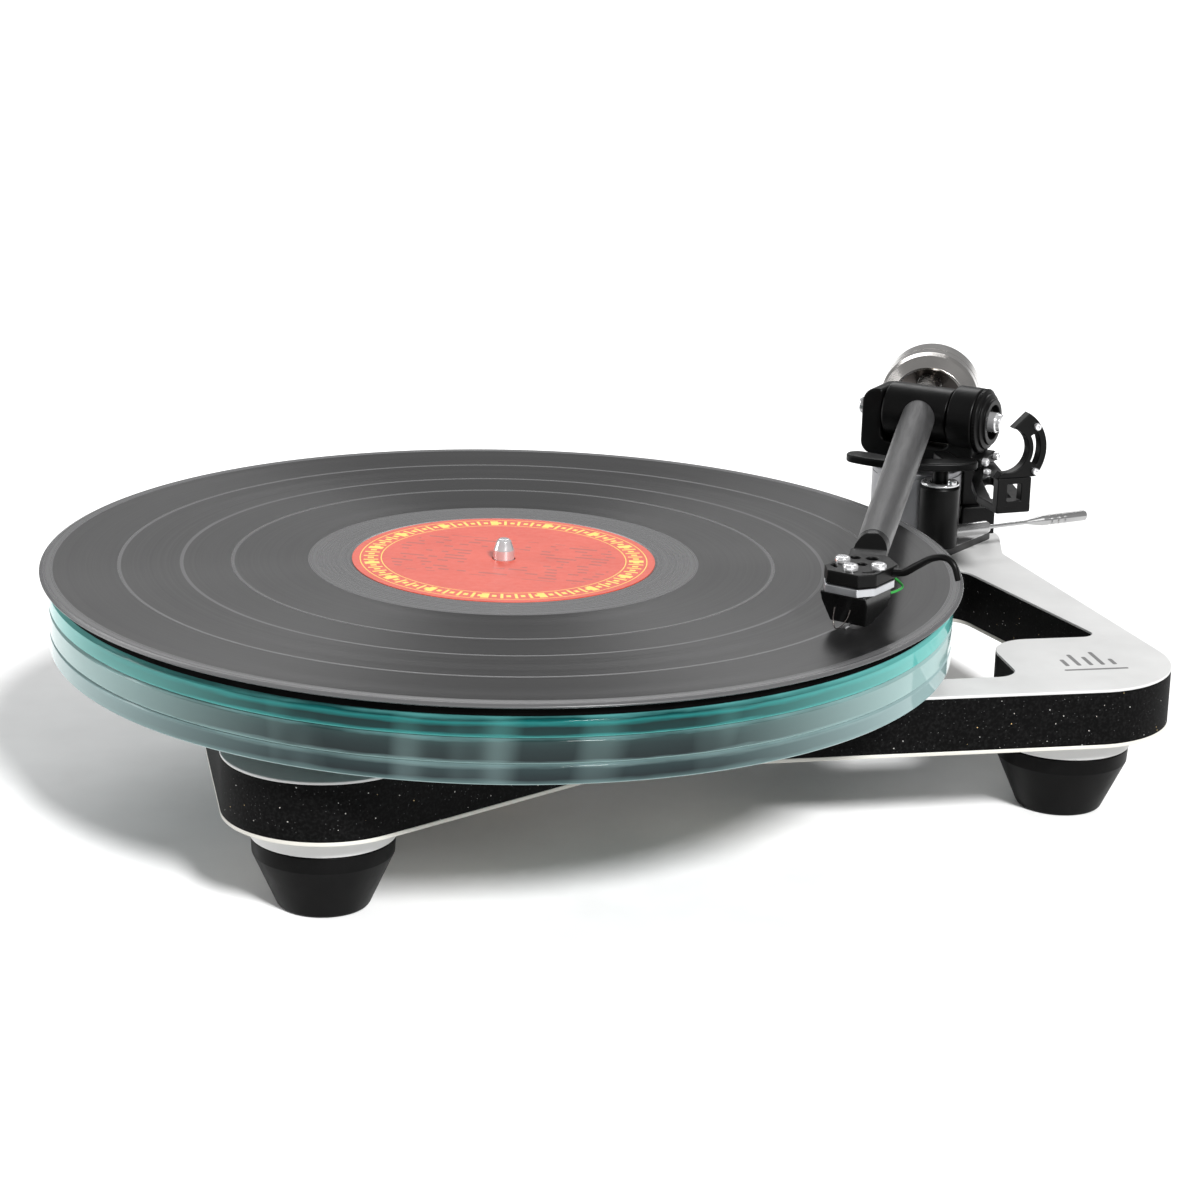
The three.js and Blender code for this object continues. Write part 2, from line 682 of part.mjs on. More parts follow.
// the C-shaped clip, drawn looking back along the parked tube: across, then up
function clip() {
  const outline = new THREE.Shape();
  outline.absarc(0, 0, CLIP_OUTER, radians(-115), radians(78), false);
  outline.absarc(0, 0, CLIP_INNER, radians(61), radians(-104), true);
  outline.closePath();
  const slot = new THREE.Path();
  slot.absarc(0, 0, 10.2, radians(-26), radians(29), false);
  slot.absarc(0, 0, 12.8, radians(29), radians(-26), true);
  slot.closePath();
  outline.holes.push(slot);
  const ringPart = new THREE.ExtrudeGeometry(outline, {
    depth: CLIP_DEPTH,
    bevelEnabled: false,
    curveSegments: 12,
  });
  // the drawing's X becomes Y, its Y becomes Z, and its depth becomes X
  ringPart.applyMatrix4(new THREE.Matrix4().set(0, 0, 1, 0, 1, 0, 0, 0, 0, 1, 0, 0, 0, 0, 0, 1));
  ringPart.translate(CLIP_REACH - CLIP_DEPTH / 2, 0, CLIP_HEIGHT);
  return cut(ringPart, block(0, 200, -40, 40, CLIP_BOTTOM - 20, CLIP_BOTTOM));
}

// ---------------------------------------------------------------- tonearm

function buildYoke(arm) {
  const yoke = frameAt(arm, 0, 0, BEARING_SKEW);
  const frame = uprightSlab(roundedLoop(THREE.Shape, [
    [YOKE_LEFT, YOKE_BOTTOM, 5],
    [YOKE_FOOT_RIGHT, YOKE_BOTTOM, 1.5],
    [YOKE_FOOT_RIGHT, BEARING_AXIS - DIAL_RADIUS - 0.6, 1],
    [YOKE_RIGHT, BEARING_AXIS - DIAL_RADIUS - 0.6, 0.2],
    [YOKE_RIGHT, BEARING_AXIS - 4, 1],
    [YOKE_GAP_RIGHT, BEARING_AXIS - 4, 1],
    [YOKE_GAP_RIGHT, YOKE_BOTTOM + 6, 3],
    [YOKE_GAP_LEFT, YOKE_BOTTOM + 6, 3],
    [YOKE_GAP_LEFT, YOKE_TOP, 1.5],
    [YOKE_LEFT, YOKE_TOP, 6],
  ]), YOKE_DEPTH);
  const dialHousing = alongX(disc(DIAL_RADIUS + 0.15, YOKE_GAP_RIGHT, YOKE_RIGHT, 40, 0.6))
    .translate(0, 0, BEARING_AXIS);
  const collar = disc(12, PILLAR_TOP + GAP, YOKE_BOTTOM + 1, 40);
  place(yoke, 'arm_yoke', joined(frame, dialHousing, collar), looks.blackPlastic);

  const nut = alongX(disc(3.6, YOKE_LEFT - GAP - 3.4, YOKE_LEFT - GAP, 24, 0.5))
    .translate(0, 0, BEARING_AXIS);
  place(yoke, 'yoke_bearing_nut', nut, looks.chrome);
  for (const [name, y] of [['front', -5.7], ['back', 5.7]]) {
    const screw = alongX(disc(1.9, 0, 1.7, 20, 0.4))
      .translate(YOKE_FOOT_RIGHT + GAP, y, YOKE_BOTTOM + 3.6);
    place(yoke, `yoke_screw_${name}`, screw, looks.chrome);
  }

  const dialLeft = YOKE_RIGHT + GAP;
  const dial = alongX(turned([
    [4.3, dialLeft],
    [DIAL_RADIUS, dialLeft],
    [DIAL_RADIUS, dialLeft + 1.5],
    [10.4, dialLeft + 1.9],
    [10.4, dialLeft + 3],
    [8.7, dialLeft + 3.4],
    [8.7, dialLeft + 4.4],
    [6.6, dialLeft + 4.4],
    [6.2, dialLeft + 2],
    [4.3, dialLeft + 2],
    [4.3, dialLeft],
  ], 28)).translate(0, 0, BEARING_AXIS);
  place(yoke, 'tracking_force_dial', dial, looks.blackPlastic);
  const shaft = alongX(disc(3.8, dialLeft, dialLeft + 8, 24, 0.7)).translate(0, 0, BEARING_AXIS);
  place(yoke, 'dial_shaft', shaft, looks.chrome);

  const boss = alongX(disc(10.4, YOKE_GAP_LEFT + 0.7, YOKE_GAP_RIGHT - 0.7, 40, 0.5))
    .translate(0, 0, BEARING_AXIS);
  const tubeBore = alongX(disc(TUBE_RADIUS + GAP, -20, 20, 32))
    .rotateY(-TUBE_SLOPE)
    .rotateZ(radians(-BEARING_SKEW))
    .translate(0, 0, BEARING_AXIS);
  place(yoke, 'arm_bearing_boss', cut(boss, tubeBore), looks.armBlack);
}

function buildTube(arm) {
  const tube = alongX(turned([
    [0, TUBE_REAR],
    [TUBE_RADIUS - 0.5, TUBE_REAR],
    [TUBE_RADIUS, TUBE_REAR + 0.5],
    [TUBE_RADIUS, TAPER_START],
    [TUBE_END_RADIUS, TUBE_FRONT],
    [0, TUBE_FRONT],
  ], 32)).rotateY(-TUBE_SLOPE).translate(0, 0, BEARING_AXIS);
  const padPlace = (LIFT_BAR_RADII[0] + LIFT_BAR_RADII[1]) / 2;
  const padBottom = LIFT_BAR_BOTTOM + LIFT_BAR_THICKNESS + 0.5;
  const liftPad = disc(2, padBottom, BEARING_AXIS - TUBE_RADIUS + 1.5, 16).translate(padPlace, 0, 0);
  place(arm, 'arm_tube', joined(tube, liftPad), looks.armBlack);
}

function headshellPlate() {
  const outline = roundedLoop(THREE.Shape, [
    [4.2, -5.4, 0.8],
    [4.2, 5.4, 0.8],
    [-0.6, 9.1, 1.5],
    [-15, 9.1, 2.5],
    [-20.5, 3, 3],
    [-23, -1, 3],
    [-27, -11, 2],
    [-22, -12, 2],
    [-16, -9.1, 3],
    [-0.6, -9.1, 1.5],
  ]);
  for (const side of [-1, 1]) {
    outline.holes.push(roundedLoop(THREE.Path, [
      [0.8, side * 3.6, 0.3],
      [-1.4, side * 7.4, 0.3],
      [-3.9, side * 7.4, 0.3],
    ]));
  }
  outline.holes.push(roundHole(-8, 0, 1.5, 12));
  outline.holes.push(roundHole(-13.4, -5.4, 1.6, 12));
  outline.holes.push(roundHole(-15.6, -0.6, 1.8, 12));
  return plate(outline, HEAD_AXIS - 3.1, HEAD_AXIS + 1, 2);
}

// the neck seen from the side: as thick as the tube, then thinning to the plate
function neckSide() {
  return uprightSlab(roundedLoop(THREE.Shape, [
    [-1, -5.6, 0.1],
    [5, -5.6, 3],
    [16, -3.1, 0.1],
    [16, 1, 0.1],
    [6, 5.6, 3],
    [-1, 5.6, 0.1],
  ]), 14);
}

function buildHead(arm) {
  const along = sqrt(STYLUS_REACH ** 2 - STYLUS_SIDE ** 2);
  const head = frameAt(arm, along, STYLUS_SIDE, HEAD_OFFSET);
  const tubeEnd = new THREE.Vector2(TUBE_FRONT + GAP - along, -STYLUS_SIDE)
    .rotateAround(new THREE.Vector2(), radians(-HEAD_OFFSET));
  const neck = common(alongX(disc(TUBE_END_RADIUS, 0, 15.5, 28)), neckSide())
    .rotateZ(radians(-HEAD_OFFSET))
    .translate(tubeEnd.x, tubeEnd.y, HEAD_AXIS);
  place(head, 'headshell', joined(headshellPlate(), neck), looks.armBlack);

  const plateTop = HEAD_AXIS + 1;
  for (const [name, x, y] of [['inner', -7, -6.3], ['outer', -7, 6.3], ['front', -0.6, 0]]) {
    const screw = turned([
      [0, plateTop + 0.5],
      [0.9, plateTop + 0.5],
      [0.9, plateTop + 1.8],
      [2.1, plateTop + 1.8],
      [2.4, plateTop + 1.5],
      [2.4, plateTop + GAP],
      [0, plateTop + GAP],
    ].reverse(), 18).translate(x, y, 0);
    place(head, `headshell_screw_${name}`, screw, looks.chrome);
  }

  const rise = (z) => RECORD_TOP + z;
  const fingerLift = wire([
    [-11.5, 9.6, rise(17.6)],
    [-11.3, 13, rise(18.6)],
    [-11, 17.5, rise(21.6)],
    [-10.8, 22.5, rise(24.8)],
    [-10.5, 27, rise(25.8)],
    [-10.2, 30.2, rise(24)],
    [-10, 32, rise(19.6)],
  ], 1.25, 24);
  place(head, 'finger_lift', fingerLift, looks.armBlack);

  buildCartridge(head);
}

function buildCartridge(head) {
  const plateTop = HEAD_AXIS - 3.1 - GAP;
  const plateBottom = plateTop - 1.6;
  const mounting = roundedLoop(THREE.Shape, [
    [4.9, -5.6, 0.5],
    [4.9, 5.6, 0.5],
    [-0.4, 9, 1],
    [-13.5, 9, 1],
    [-13.5, -9, 1],
    [-0.4, -9, 1],
  ]);
  place(head, 'cartridge_plate', plate(mounting, plateBottom, plateTop), looks.aluminium);

  const top = plateBottom - GAP;
  const bottom = RECORD_TOP + 2.2;
  const side = uprightSlab(roundedLoop(THREE.Shape, [
    [-12.8, top, 0.5],
    [-12.8, top - 6.2, 0.8],
    [-4.6, bottom, 1],
    [-0.4, bottom, 0.6],
    [3.6, top, 0.5],
  ]), 20);
  const front = new THREE.Shape([[-8, top + 1], [-8, top - 3], [-5.8, bottom - 1], [5.8, bottom - 1],
    [8, top - 3], [8, top + 1]].map(([y, z]) => new THREE.Vector2(y, z)));
  const frontBlank = new THREE.ExtrudeGeometry(front, { depth: 40, bevelEnabled: false })
    .applyMatrix4(new THREE.Matrix4().set(0, 0, 1, -20, 1, 0, 0, 0, 0, 1, 0, 0, 0, 0, 0, 1));
  place(head, 'cartridge_body', common(side, frontBlank), looks.blackPlastic);

  const rodStart = new THREE.Vector3(-4.6, 0, bottom - 0.75);
  const rodEnd = new THREE.Vector3(0.5, 0, RECORD_TOP + 0.95);
  const slope = Math.atan2(rodStart.z - rodEnd.z, rodEnd.x - rodStart.x);
  const rod = alongX(disc(0.4, 0, rodStart.distanceTo(rodEnd), 10))
    .rotateY(slope)
    .translate(...rodStart);
  const tip = turned([
    [0, RECORD_TOP + 0.4],
    [0.12, RECORD_TOP + 0.45],
    [0.3, RECORD_TOP + 0.95],
    [0, RECORD_TOP + 1.05],
  ], 10).translate(0, 0, 0);
  place(head, 'stylus_cantilever', joined(rod, tip), looks.chrome);

  const guard = wire([
    [2.4, -3, RECORD_TOP + 7.6],
    [3.6, -2.8, RECORD_TOP + 4],
    [4.4, -1.6, RECORD_TOP + 1.7],
    [4.4, 0, RECORD_TOP + 2.2],
    [3.6, 1.8, RECORD_TOP + 4.6],
    [2.9, 2.6, RECORD_TOP + 7.8],
  ], 0.3, 20);
  place(head, 'stylus_guard', guard, looks.chrome);
}

function buildCounterweight(arm) {
  const shaftStart = TUBE_REAR - GAP;
  const shaft = alongX(turned([
    [0, WEIGHT_SHAFT_END],
    [WEIGHT_SHAFT_RADIUS - 0.5, WEIGHT_SHAFT_END],
    [WEIGHT_SHAFT_RADIUS, WEIGHT_SHAFT_END + 0.5],
    [WEIGHT_SHAFT_RADIUS, shaftStart - 9],
    [6, shaftStart - 8],
    [6, shaftStart],
    [0, shaftStart],
  ], 28)).translate(0, 0, BEARING_AXIS);
  place(arm, 'counterweight_shaft', shaft, looks.steel);

  const back = WEIGHT_FRONT - WEIGHT_LENGTH;
  const body = alongX(turned([
    [0, back],
    [WEIGHT_RADIUS - 1, back],
    [WEIGHT_RADIUS, back + 1],
    [WEIGHT_RADIUS, WEIGHT_FRONT - 2.4],
    [WEIGHT_RADIUS - 2, WEIGHT_FRONT - 0.5],
    [14.6, WEIGHT_FRONT],
    [13.9, WEIGHT_FRONT - 0.4],
    [5, WEIGHT_FRONT - 6],
    [0, WEIGHT_FRONT - 6],
  ], 40)).translate(0, 0, BEARING_AXIS - WEIGHT_DROP);
  const bore = alongX(disc(WEIGHT_SHAFT_RADIUS + GAP, back - 5, WEIGHT_FRONT + 5, 28))
    .translate(0, 0, BEARING_AXIS);
  place(arm, 'counterweight', cut(body, bore), looks.steel);
}

function buildTonearm() {
  const arm = frameAt(model, ...pivot, ARM_DIRECTION);
  buildYoke(arm);
  buildTube(arm);
  buildHead(arm);
  buildCounterweight(arm);
}

// ---------------------------------------------------------------- assembly

buildPlinth();
buildFeet();
buildMainBearing();
buildDrive();
buildUndersideFittings();
buildPlatter();
buildArmMounting();
buildLift();
buildArmRest();
buildTonearm();

const box = new THREE.Box3().setFromObject(model, true);
const middle = box.getCenter(new THREE.Vector3());
model.position.set(-middle.x, -middle.y, -box.min.z);

const turntable = new THREE.Group();
turntable.add(model);

export default turntable;
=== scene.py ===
"""A belt-driven record player with a layered glass platter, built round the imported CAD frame.

Shapes are written in millimetres in the frame they belong to, and each is moved into place from the
CAD's own boxes: the deck's origin is the spindle axis at table height, the arm's is its pivot.
"""

import math

import bmesh
import bpy
from mathutils import Matrix, Vector
from mathutils.geometry import tessellate_polygon


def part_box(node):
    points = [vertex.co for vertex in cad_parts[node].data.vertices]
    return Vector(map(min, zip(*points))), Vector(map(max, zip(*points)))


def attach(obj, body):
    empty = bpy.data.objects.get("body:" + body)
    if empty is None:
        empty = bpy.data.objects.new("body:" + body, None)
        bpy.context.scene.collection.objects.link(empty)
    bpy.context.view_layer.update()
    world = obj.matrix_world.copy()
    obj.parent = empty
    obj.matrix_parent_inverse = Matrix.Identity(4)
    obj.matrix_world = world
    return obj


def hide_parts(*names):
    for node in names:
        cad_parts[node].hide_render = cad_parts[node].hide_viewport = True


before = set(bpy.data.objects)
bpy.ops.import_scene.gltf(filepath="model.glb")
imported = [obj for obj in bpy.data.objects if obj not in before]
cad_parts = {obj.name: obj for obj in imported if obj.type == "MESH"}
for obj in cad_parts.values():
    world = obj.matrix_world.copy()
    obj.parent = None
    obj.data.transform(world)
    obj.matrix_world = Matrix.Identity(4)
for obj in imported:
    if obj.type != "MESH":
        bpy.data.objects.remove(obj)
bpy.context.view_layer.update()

MM = 0.001
TAU = 2 * math.pi


# ------------ places


def middle(node):
    low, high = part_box(node)
    return (low + high) / 2


def at(x, y, z):
    return Matrix.Translation((x, y, z))


def turned(angle, axis):
    return Matrix.Rotation(angle, 4, axis)


def spot(point, degrees=0.0):
    """A frame in millimetres, standing on the table under the point and turned about Z."""
    return at(point.x, point.y, 0) @ turned(math.radians(degrees), "Z") @ Matrix.Scale(MM, 4)


def within(place, x, y, degrees=0.0):
    return place @ at(x, y, 0) @ turned(math.radians(degrees), "Z")


ALONG_X = turned(math.pi / 2, "Y")
FLIPPED = turned(math.pi, "X")
FACING_X = Matrix(((0, 0, 1, 0), (1, 0, 0, 0), (0, 1, 0, 0), (0, 0, 0, 1)))

DECK = spot(middle("record_disc"))
PIVOT = middle("arm_pillar")
ARM_DIRECTION = -111.5
PARK_DIRECTION = -81.9
BEARING_SKEW = 71.5
LEVER_DIRECTION = 16.2
HEAD_OFFSET = -23.7
ARM = spot(PIVOT, ARM_DIRECTION)
YOKE = within(ARM, 0, 0, BEARING_SKEW)
ARM_MOUNT = spot(PIVOT)
REST = spot(PIVOT, PARK_DIRECTION)
LIFT = spot(middle("lift_housing"), LEVER_DIRECTION)

RECORD_TOP = 85.4
ARM_AXIS = RECORD_TOP + 18.5
STYLUS_REACH = 237
STYLUS_SIDE = -4.3
STYLUS_ALONG = math.sqrt(STYLUS_REACH**2 - STYLUS_SIDE**2)
HEAD = within(ARM, STYLUS_ALONG, STYLUS_SIDE, HEAD_OFFSET)


# ------------ outlines


def rounded(corners, closed=True, steps=8):
    """The points of a path whose corners (x, y) or (x, y, radius) are rounded by arcs."""
    points = []
    count = len(corners)
    for i, corner in enumerate(corners):
        here = Vector(corner[:2])
        radius = corner[2] if len(corner) > 2 else 0
        at_end = not closed and i in (0, count - 1)
        if radius == 0 or at_end:
            points.append(here)
            continue
        back = (Vector(corners[i - 1][:2]) - here).normalized()
        ahead = (Vector(corners[(i + 1) % count][:2]) - here).normalized()
        half = back.angle(ahead) / 2
        centre = here + (back + ahead).normalized() * radius / math.sin(half)
        start = here + back * radius / math.tan(half) - centre
        sweep = math.pi - 2 * half
        if back.x * ahead.y - back.y * ahead.x > 0:
            sweep = -sweep
        pieces = max(2, round(steps * abs(sweep) / (math.pi / 2)))
        for k in range(pieces + 1):
            turn = Matrix.Rotation(sweep * k / pieces, 2)
            points.append(centre + turn @ start)
    return points


def box_outline(x0, x1, y0, y1, radius=0.0, steps=4):
    return rounded([(x0, y0, radius), (x1, y0, radius), (x1, y1, radius), (x0, y1, radius)], steps=steps)


def round_point(x, y, radius, angle):
    return Vector((x + radius * math.cos(angle), y + radius * math.sin(angle)))


def circle(x, y, radius, segments=48):
    return [round_point(x, y, radius, TAU * k / segments) for k in range(segments)]


def arc(radius, start, end, steps, x=0.0, y=0.0):
    """Points round (x, y) from one angle to another, in degrees."""
    turns = [math.radians(start + (end - start) * k / steps) for k in range(steps + 1)]
    return [round_point(x, y, radius, turn) for turn in turns]


def capsule(x0, y0, x1, y1, radius, steps=16):
    """A straight bar with round ends."""
    angle = math.degrees(math.atan2(y1 - y0, x1 - x0))
    far_end = arc(radius, angle - 90, angle + 90, steps, x1, y1)
    return arc(radius, angle + 90, angle + 270, steps, x0, y0) + far_end


def curved_bar(inner, outer, start, end):
    """A bar that bends round the origin between two angles, with round ends."""
    tip = (outer - inner) / 2
    near, far = (round_point(0, 0, inner + tip, math.radians(angle)) for angle in (start, end))
    return (
        arc(outer, start, end, 48)
        + arc(tip, end, end + 180, 12, *far)[1:-1]
        + arc(inner, end, start, 48)
        + arc(tip, start + 180, start + 360, 12, *near)[1:-1]
    )


def inset(points, distance):
    """The closed outline moved inwards by the distance."""
    count = len(points)
    area = sum(
        points[i].x * points[(i + 1) % count].y - points[(i + 1) % count].x * points[i].y
        for i in range(count)
    )
    side = 1 if area > 0 else -1
    moved = []
    for i, here in enumerate(points):
        before = (here - points[i - 1]).normalized()
        after = (points[(i + 1) % count] - here).normalized()
        normal = Vector((-before.y - after.y, before.x + after.x)) * side
        normal.normalize()
        across = Vector((-before.y, before.x)) * side
        reach = distance / max(0.4, normal.dot(across))
        moved.append(here + normal * reach)
    return moved


# ------------ meshes


def tidy(points):
    """The outline without points that lie on each other."""
    return [p for i, p in enumerate(points) if (p - points[i - 1]).length > 1e-4]


def slab(outline, bottom, top, bevel=0.0, holes=(), steps=3):
    """A plate with that outline and those holes, its edges rounded by the bevel."""
    mesh = bmesh.new()
    loops = [tidy(outline)] + [tidy(hole) for hole in holes]
    levels = [(0.0, bottom), (0.0, top)]
    if bevel > 0:
        turns = [math.pi / 2 * k / steps for k in range(steps + 1)]
        low = [(bevel * (1 - math.sin(t)), bottom + bevel * (1 - math.cos(t))) for t in turns]
        high = [(inward, top + bottom - z) for inward, z in reversed(low)]
        levels = low + high
    rings = []
    for number, loop in enumerate(loops):
        sign = 1 if number == 0 else -1
        stack = []
        for inward, z in levels:
            flat = inset(loop, sign * inward) if inward else loop
            stack.append([mesh.verts.new((p.x, p.y, z)) for p in flat])
        for lower, upper in zip(stack, stack[1:]):
            for i in range(len(loop)):
                mesh.faces.new((lower[i - 1], lower[i], upper[i], upper[i - 1]))
        rings.append((stack[0], stack[-1]))
    for end in (0, 1):
        borders = [ring[end] for ring in rings]
        flat = [[vert.co.copy() for vert in border] for border in borders]
        verts = [vert for border in borders for vert in border]
        for triangle in tessellate_polygon(flat):
            mesh.faces.new([verts[k] for k in triangle])
    bmesh.ops.recalc_face_normals(mesh, faces=mesh.faces)
    return mesh


def lathe(profile, segments=96, steps=4):
    """A solid turned about Z from corners (radius, height) or (radius, height, rounding)."""
    mesh = bmesh.new()
    points = rounded(profile, closed=profile[0][:2] == profile[-1][:2], steps=steps)
    columns = []
    for point in points:
        if abs(point.x) < 1e-6:
            columns.append([mesh.verts.new((0, 0, point.y))])
        else:
            ring = circle(0, 0, point.x, segments)
            columns.append([mesh.verts.new((p.x, p.y, point.y)) for p in ring])
    for lower, upper in zip(columns, columns[1:]):
        for k in range(segments):
            corners = [
                lower[k % len(lower)],
                lower[(k + 1) % len(lower)],
                upper[(k + 1) % len(upper)],
                upper[k % len(upper)],
            ]
            unique = [v for i, v in enumerate(corners) if v is not corners[i - 1]]
            if len(unique) > 2:
                mesh.faces.new(unique)
    bmesh.ops.remove_doubles(mesh, verts=mesh.verts, dist=1e-5)
    bmesh.ops.recalc_face_normals(mesh, faces=mesh.faces)
    return mesh


def ring_profile(inner, outer, bottom, top, soft=0.2):
    middle_height = (bottom + top) / 2
    return [
        (inner, middle_height),
        (inner, bottom, soft),
        (outer, bottom, soft),
        (outer, top, soft),
        (inner, top, soft),
        (inner, middle_height),
    ]


def disc_profile(radius, bottom, top, soft=0.2):
    return [(0, bottom), (radius, bottom, soft), (radius, top, soft), (0, top)]


def swept(points, radius, sides=12, per_span=6):
    """A round wire through the points; radius may be one number or a function of 0 to 1."""
    knots = [Vector(p) for p in points]
    path = []
    for i in range(len(knots) - 1):
        p0 = knots[max(i - 1, 0)]
        p1, p2 = knots[i], knots[i + 1]
        p3 = knots[min(i + 2, len(knots) - 1)]
        for k in range(per_span):
            t = k / per_span
            square = (2 * p0 - 5 * p1 + 4 * p2 - p3) * t * t
            cube = (3 * p1 - p0 - 3 * p2 + p3) * t**3
            path.append(0.5 * (2 * p1 + (p2 - p0) * t + square + cube))
    path.append(knots[-1])
    mesh = bmesh.new()
    side = Vector((0, 0, 1)).cross(path[1] - path[0])
    side = side.normalized() if side.length > 1e-6 else Vector((1, 0, 0))
    rings = []
    for i, here in enumerate(path):
        ahead = (path[min(i + 1, len(path) - 1)] - path[max(i - 1, 0)]).normalized()
        side = (side - ahead * side.dot(ahead)).normalized()
        up = ahead.cross(side)
        size = radius(i / (len(path) - 1)) if callable(radius) else radius
        outward = [side * p.x + up * p.y for p in circle(0, 0, 1, sides)]
        rings.append([mesh.verts.new(here + way * size) for way in outward])
    for lower, upper in zip(rings, rings[1:]):
        for k in range(sides):
            mesh.faces.new((lower[k - 1], lower[k], upper[k], upper[k - 1]))
    mesh.faces.new(rings[0])
    mesh.faces.new(rings[-1])
    bmesh.ops.recalc_face_normals(mesh, faces=mesh.faces)
    return mesh


def moved(mesh, matrix):
    bmesh.ops.transform(mesh, matrix=matrix, verts=mesh.verts)
    return mesh


def together(*meshes):
    """One mesh that holds them all."""
    whole = bmesh.new()
    for part in meshes:
        data = bpy.data.meshes.new("part")
        part.to_mesh(data)
        part.free()
        whole.from_mesh(data)
        bpy.data.meshes.remove(data)
    return whole


def in_scene(name, data):
    built = bpy.data.objects.new(name, data)
    bpy.context.scene.collection.objects.link(built)
    return built


def as_object(name, mesh):
    data = bpy.data.meshes.new(name)
    mesh.to_mesh(data)
    mesh.free()
    return in_scene(name, data)


def carved(mesh, *tools, operation="DIFFERENCE"):
    """The mesh with the tools cut out of it, or joined to it, or kept where it meets them."""
    body = as_object("body", mesh)
    for tool_mesh in tools:
        tool = as_object("tool", tool_mesh)
        modifier = body.modifiers.new("carve", "BOOLEAN")
        modifier.operation = operation
        modifier.solver = "EXACT"
        modifier.object = tool
        depsgraph = bpy.context.evaluated_depsgraph_get()
        result = bpy.data.meshes.new_from_object(body.evaluated_get(depsgraph))
        body.modifiers.clear()
        body.data = result
        bpy.data.objects.remove(tool)
    finished = bmesh.new()
    finished.from_mesh(body.data)
    bpy.data.objects.remove(body)
    return finished


def piece(name, mesh, place, look, body, slot, *nodes, sharp=32, edge=0.0):
    """A finished piece: placed, shaded by one look or several, riding on its body, standing for its nodes."""
    bmesh.ops.transform(mesh, matrix=place, verts=mesh.verts)
    limit = math.radians(sharp)
    for face in mesh.faces:
        face.smooth = True
    for line in mesh.edges:
        if len(line.link_faces) == 2 and line.calc_face_angle(0) > limit:
            line.smooth = False
    built = as_object(name, mesh)
    for each in [look] if isinstance(look, str) else look:
        built.data.materials.append(LOOKS[each])
    if edge > 0:
        soften(built, edge)
    else:
        weigh_normals(built)
    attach(built, body)
    if nodes:
        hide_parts(*nodes)
    return built


def weigh_normals(built):
    normals = built.modifiers.new("normals", "WEIGHTED_NORMAL")
    normals.keep_sharp = True


def soften(built, width):
    """Rounds the sharp edges of a solid by the width in millimetres."""
    bevel = built.modifiers.new("edges", "BEVEL")
    bevel.width = width * MM
    bevel.segments = 2
    bevel.limit_method = "ANGLE"
    bevel.angle_limit = math.radians(32)
    bevel.harden_normals = False
    weigh_normals(built)


# ------------ materials


def grey(level):
    return (level, level, level)


